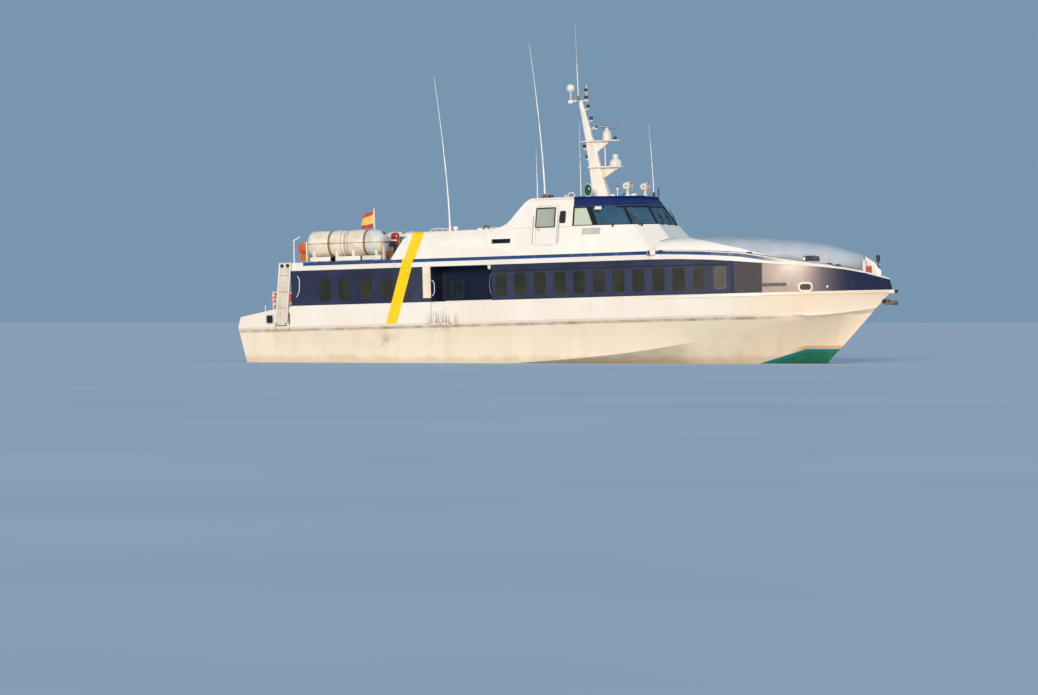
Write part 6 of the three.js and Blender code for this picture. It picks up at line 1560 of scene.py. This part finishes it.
on_rim = [Vector((0.165 * math.cos(a), 0.165 * math.sin(a), 0))
          for a in (0, math.radians(120), math.radians(240))]
spokes = [rod(BLACK, HELM_WHEEL, HELM_WHEEL + tilt @ spot, 0.008) for spot in on_rim]
boss = turned(BLACK, [(0.03, -0.02), (0.035, 0.0), (0.03, 0.02)], HELM_WHEEL, (-0.87, 0, 0.5), 20)
column = rod(BLACK, (3.34, 0.52, 5.415), (3.52, 0.52, 5.31), 0.022)
fitted(joined(console, throttle, rim, boss, column, *spokes, *screens, *dials, *levers, *lever_knobs),
       "helm_console_and_wheel", stands_for=("helm_console",))

# Helm chairs: a plinth, gas pedestals, seat pans and arm rests, with padded seats and backs
plinth = block(TRIM_GREY, (2.35, -0.8, 4.951), (2.65, 0.8, 5.01), 0.012)
chairs = [plinth]
for y in (-0.56, 0.56):
    chairs.append(turned(ALLOY, [(0.13, 5.008), (0.125, 5.03), (0.07, 5.06), (0.07, 5.2), (0.052, 5.22),
                                 (0.052, 5.37), (0.12, 5.385), (0.12, 5.4)], (2.5, y, 0)))
    chairs.append(block(BLACK, (2.29, y - 0.235, 5.395), (2.755, y + 0.235, 5.42), 0.01))
    board = ((2.215, 5.44), (2.235, 5.44), (2.235, 6.15), (2.215, 6.15))
    chairs.append(slab(BLACK, [(x, y - 0.225, z) for x, z in board], (0, 0.45, 0), 0.008))
    for s in (-1, 1):
        chairs.append(pipe(STAINLESS, [(2.23, y + s * 0.245, 5.46), (2.3, y + s * 0.262, 5.66),
                                       (2.55, y + s * 0.262, 5.68)], 0.014))
        chairs.append(block(LEATHER, (2.33, y + s * 0.262 - 0.025, 5.675),
                            (2.6, y + s * 0.262 + 0.025, 5.705), 0.012))
fitted(joined(*chairs), "helm_chair_frames", stands_for=("helm_chairs",))


def cushion(low, high, most=0.014):
    """A padded cushion: a rounded block blown up as cloth, no point further than a limit, and smoothed."""
    pad = block(LEATHER, low, high, 0.022, 4)
    pad.data.remesh_voxel_size = 0.006
    only(pad)
    bpy.ops.object.voxel_remesh()
    starts = [vert.co.copy() for vert in pad.data.vertices]
    cloth = pad.modifiers.new("swell", "CLOTH")
    cloth.settings.use_pressure = True
    cloth.settings.uniform_pressure_force = 4
    cloth.settings.effector_weights.gravity = 0
    for step in range(1, 21):
        bpy.context.scene.frame_set(step)
    bpy.ops.object.modifier_apply(modifier="swell")
    bpy.context.scene.frame_set(1)
    for vert, start in zip(pad.data.vertices, starts):
        shift = vert.co - start
        if shift.length > most:
            vert.co = start + shift * (most / shift.length)
    pad.modifiers.new("smooth", "SUBSURF").levels = 1
    bpy.ops.object.modifier_apply(modifier="smooth")
    return pad


def welt(corners):
    """A piped seam round a cushion."""
    return pipe(SEAM, corners, 0.005, closed=True)


seat = cushion((2.3, -0.785, 5.43), (2.745, -0.335, 5.505))
seat = joined(seat, welt([(2.31, -0.775, 5.494), (2.52, -0.789, 5.5), (2.735, -0.775, 5.494),
                          (2.747, -0.56, 5.5), (2.735, -0.345, 5.494), (2.52, -0.331, 5.5),
                          (2.31, -0.345, 5.494), (2.298, -0.56, 5.5)]))
back = cushion((2.238, -0.775, 5.53), (2.3, -0.345, 6.18))
back = joined(back, welt([(2.296, -0.765, 5.55), (2.3, -0.778, 5.85), (2.296, -0.765, 6.16),
                          (2.3, -0.56, 6.185), (2.296, -0.355, 6.16), (2.3, -0.342, 5.85),
                          (2.296, -0.355, 5.55), (2.3, -0.56, 5.527)]))
for piece, name in ((seat, "helm_seat_cushion"), (back, "helm_back_cushion")):
    both_sides(piece, name, angle=60)

# Camera at the photograph's angle, floor at the running waterline, soft light
AZIMUTH = math.radians(20)
TAU = math.asin(TRIM)
DISTANCE = 180.0
PIXELS_PER_METRE = 22.4
FOCAL = PIXELS_PER_METRE * DISTANCE  # in pixels
WIDTH, HEIGHT, HORIZON, CENTRE_X = 1038, 695, 319, 567  # pixels of the photograph
EYE = 1.95  # the camera over the water
SENSOR = 36  # millimetres
SUN_FORWARD, SUN_HEIGHT = math.radians(13), math.radians(10)

up0 = Vector((math.sin(TAU), 0, math.cos(TAU)))
ahead = Vector((math.cos(TAU), 0, -math.sin(TAU)))
abeam = Vector((0, 1, 0))
back = math.sin(AZIMUTH) * ahead - math.cos(AZIMUTH) * abeam
right0 = math.cos(AZIMUTH) * ahead + math.sin(AZIMUTH) * abeam
yaw = math.atan((CENTRE_X - WIDTH / 2) / FOCAL)
forward = -math.cos(yaw) * back - math.sin(yaw) * right0
right = math.cos(yaw) * right0 - math.sin(yaw) * back
pitch = math.atan((HEIGHT / 2 - HORIZON) / FOCAL)
gaze = math.cos(pitch) * forward - math.sin(pitch) * up0
camera_up = math.cos(pitch) * up0 + math.sin(pitch) * forward
pose = Matrix((right, camera_up, -gaze)).transposed().to_4x4()
pose.translation = back * DISTANCE + up0 * (EYE + WATER)
bpy.ops.object.camera_add()
camera = bpy.context.object
camera.matrix_world = pose
camera.data.sensor_width = SENSOR
camera.data.lens = FOCAL / WIDTH * SENSOR
camera.data.clip_end = 3000
bpy.context.scene.camera = camera

bpy.ops.mesh.primitive_plane_add(size=4000, location=up0 * WATER, rotation=(0, TAU, 0))
floor = settle(bpy.context.object)
coated(floor, weathered("pale_studio_floor", "#c3ccd4", "#bcc6cf", (0.9, 0.95), patch=8.0, grain=2.0,
                        depth=0.0, Specular_IOR_Level=0.0))
floor.name = "floor"

bpy.ops.object.light_add(type="SUN")
sun = bpy.context.object
to_sun = Vector((math.sin(SUN_FORWARD), -math.cos(SUN_FORWARD), math.tan(SUN_HEIGHT)))
sun.rotation_euler = to_sun.to_track_quat("Z", "Y").to_euler()
sun.data.energy = 2.7
sun.data.color = linear("#ffeedc")[:3]
sun.data.angle = math.radians(12)
bpy.ops.object.light_add(type="SUN")
sky_fill = bpy.context.object
sky_fill.rotation_euler = Vector((0.75, -0.35, 1.0)).to_track_quat("Z", "Y").to_euler()
sky_fill.data.energy = 0.8
sky_fill.data.color = linear("#cfe0f2")[:3]
sky_fill.data.angle = math.radians(60)
world = bpy.data.worlds.new("studio")
bpy.context.scene.world = world
world.use_nodes = True
world.node_tree.nodes["Background"].inputs["Color"].default_value = linear("#8fb0ce")
world.node_tree.nodes["Background"].inputs["Strength"].default_value = 0.7
bpy.context.scene.view_settings.view_transform = "Standard"
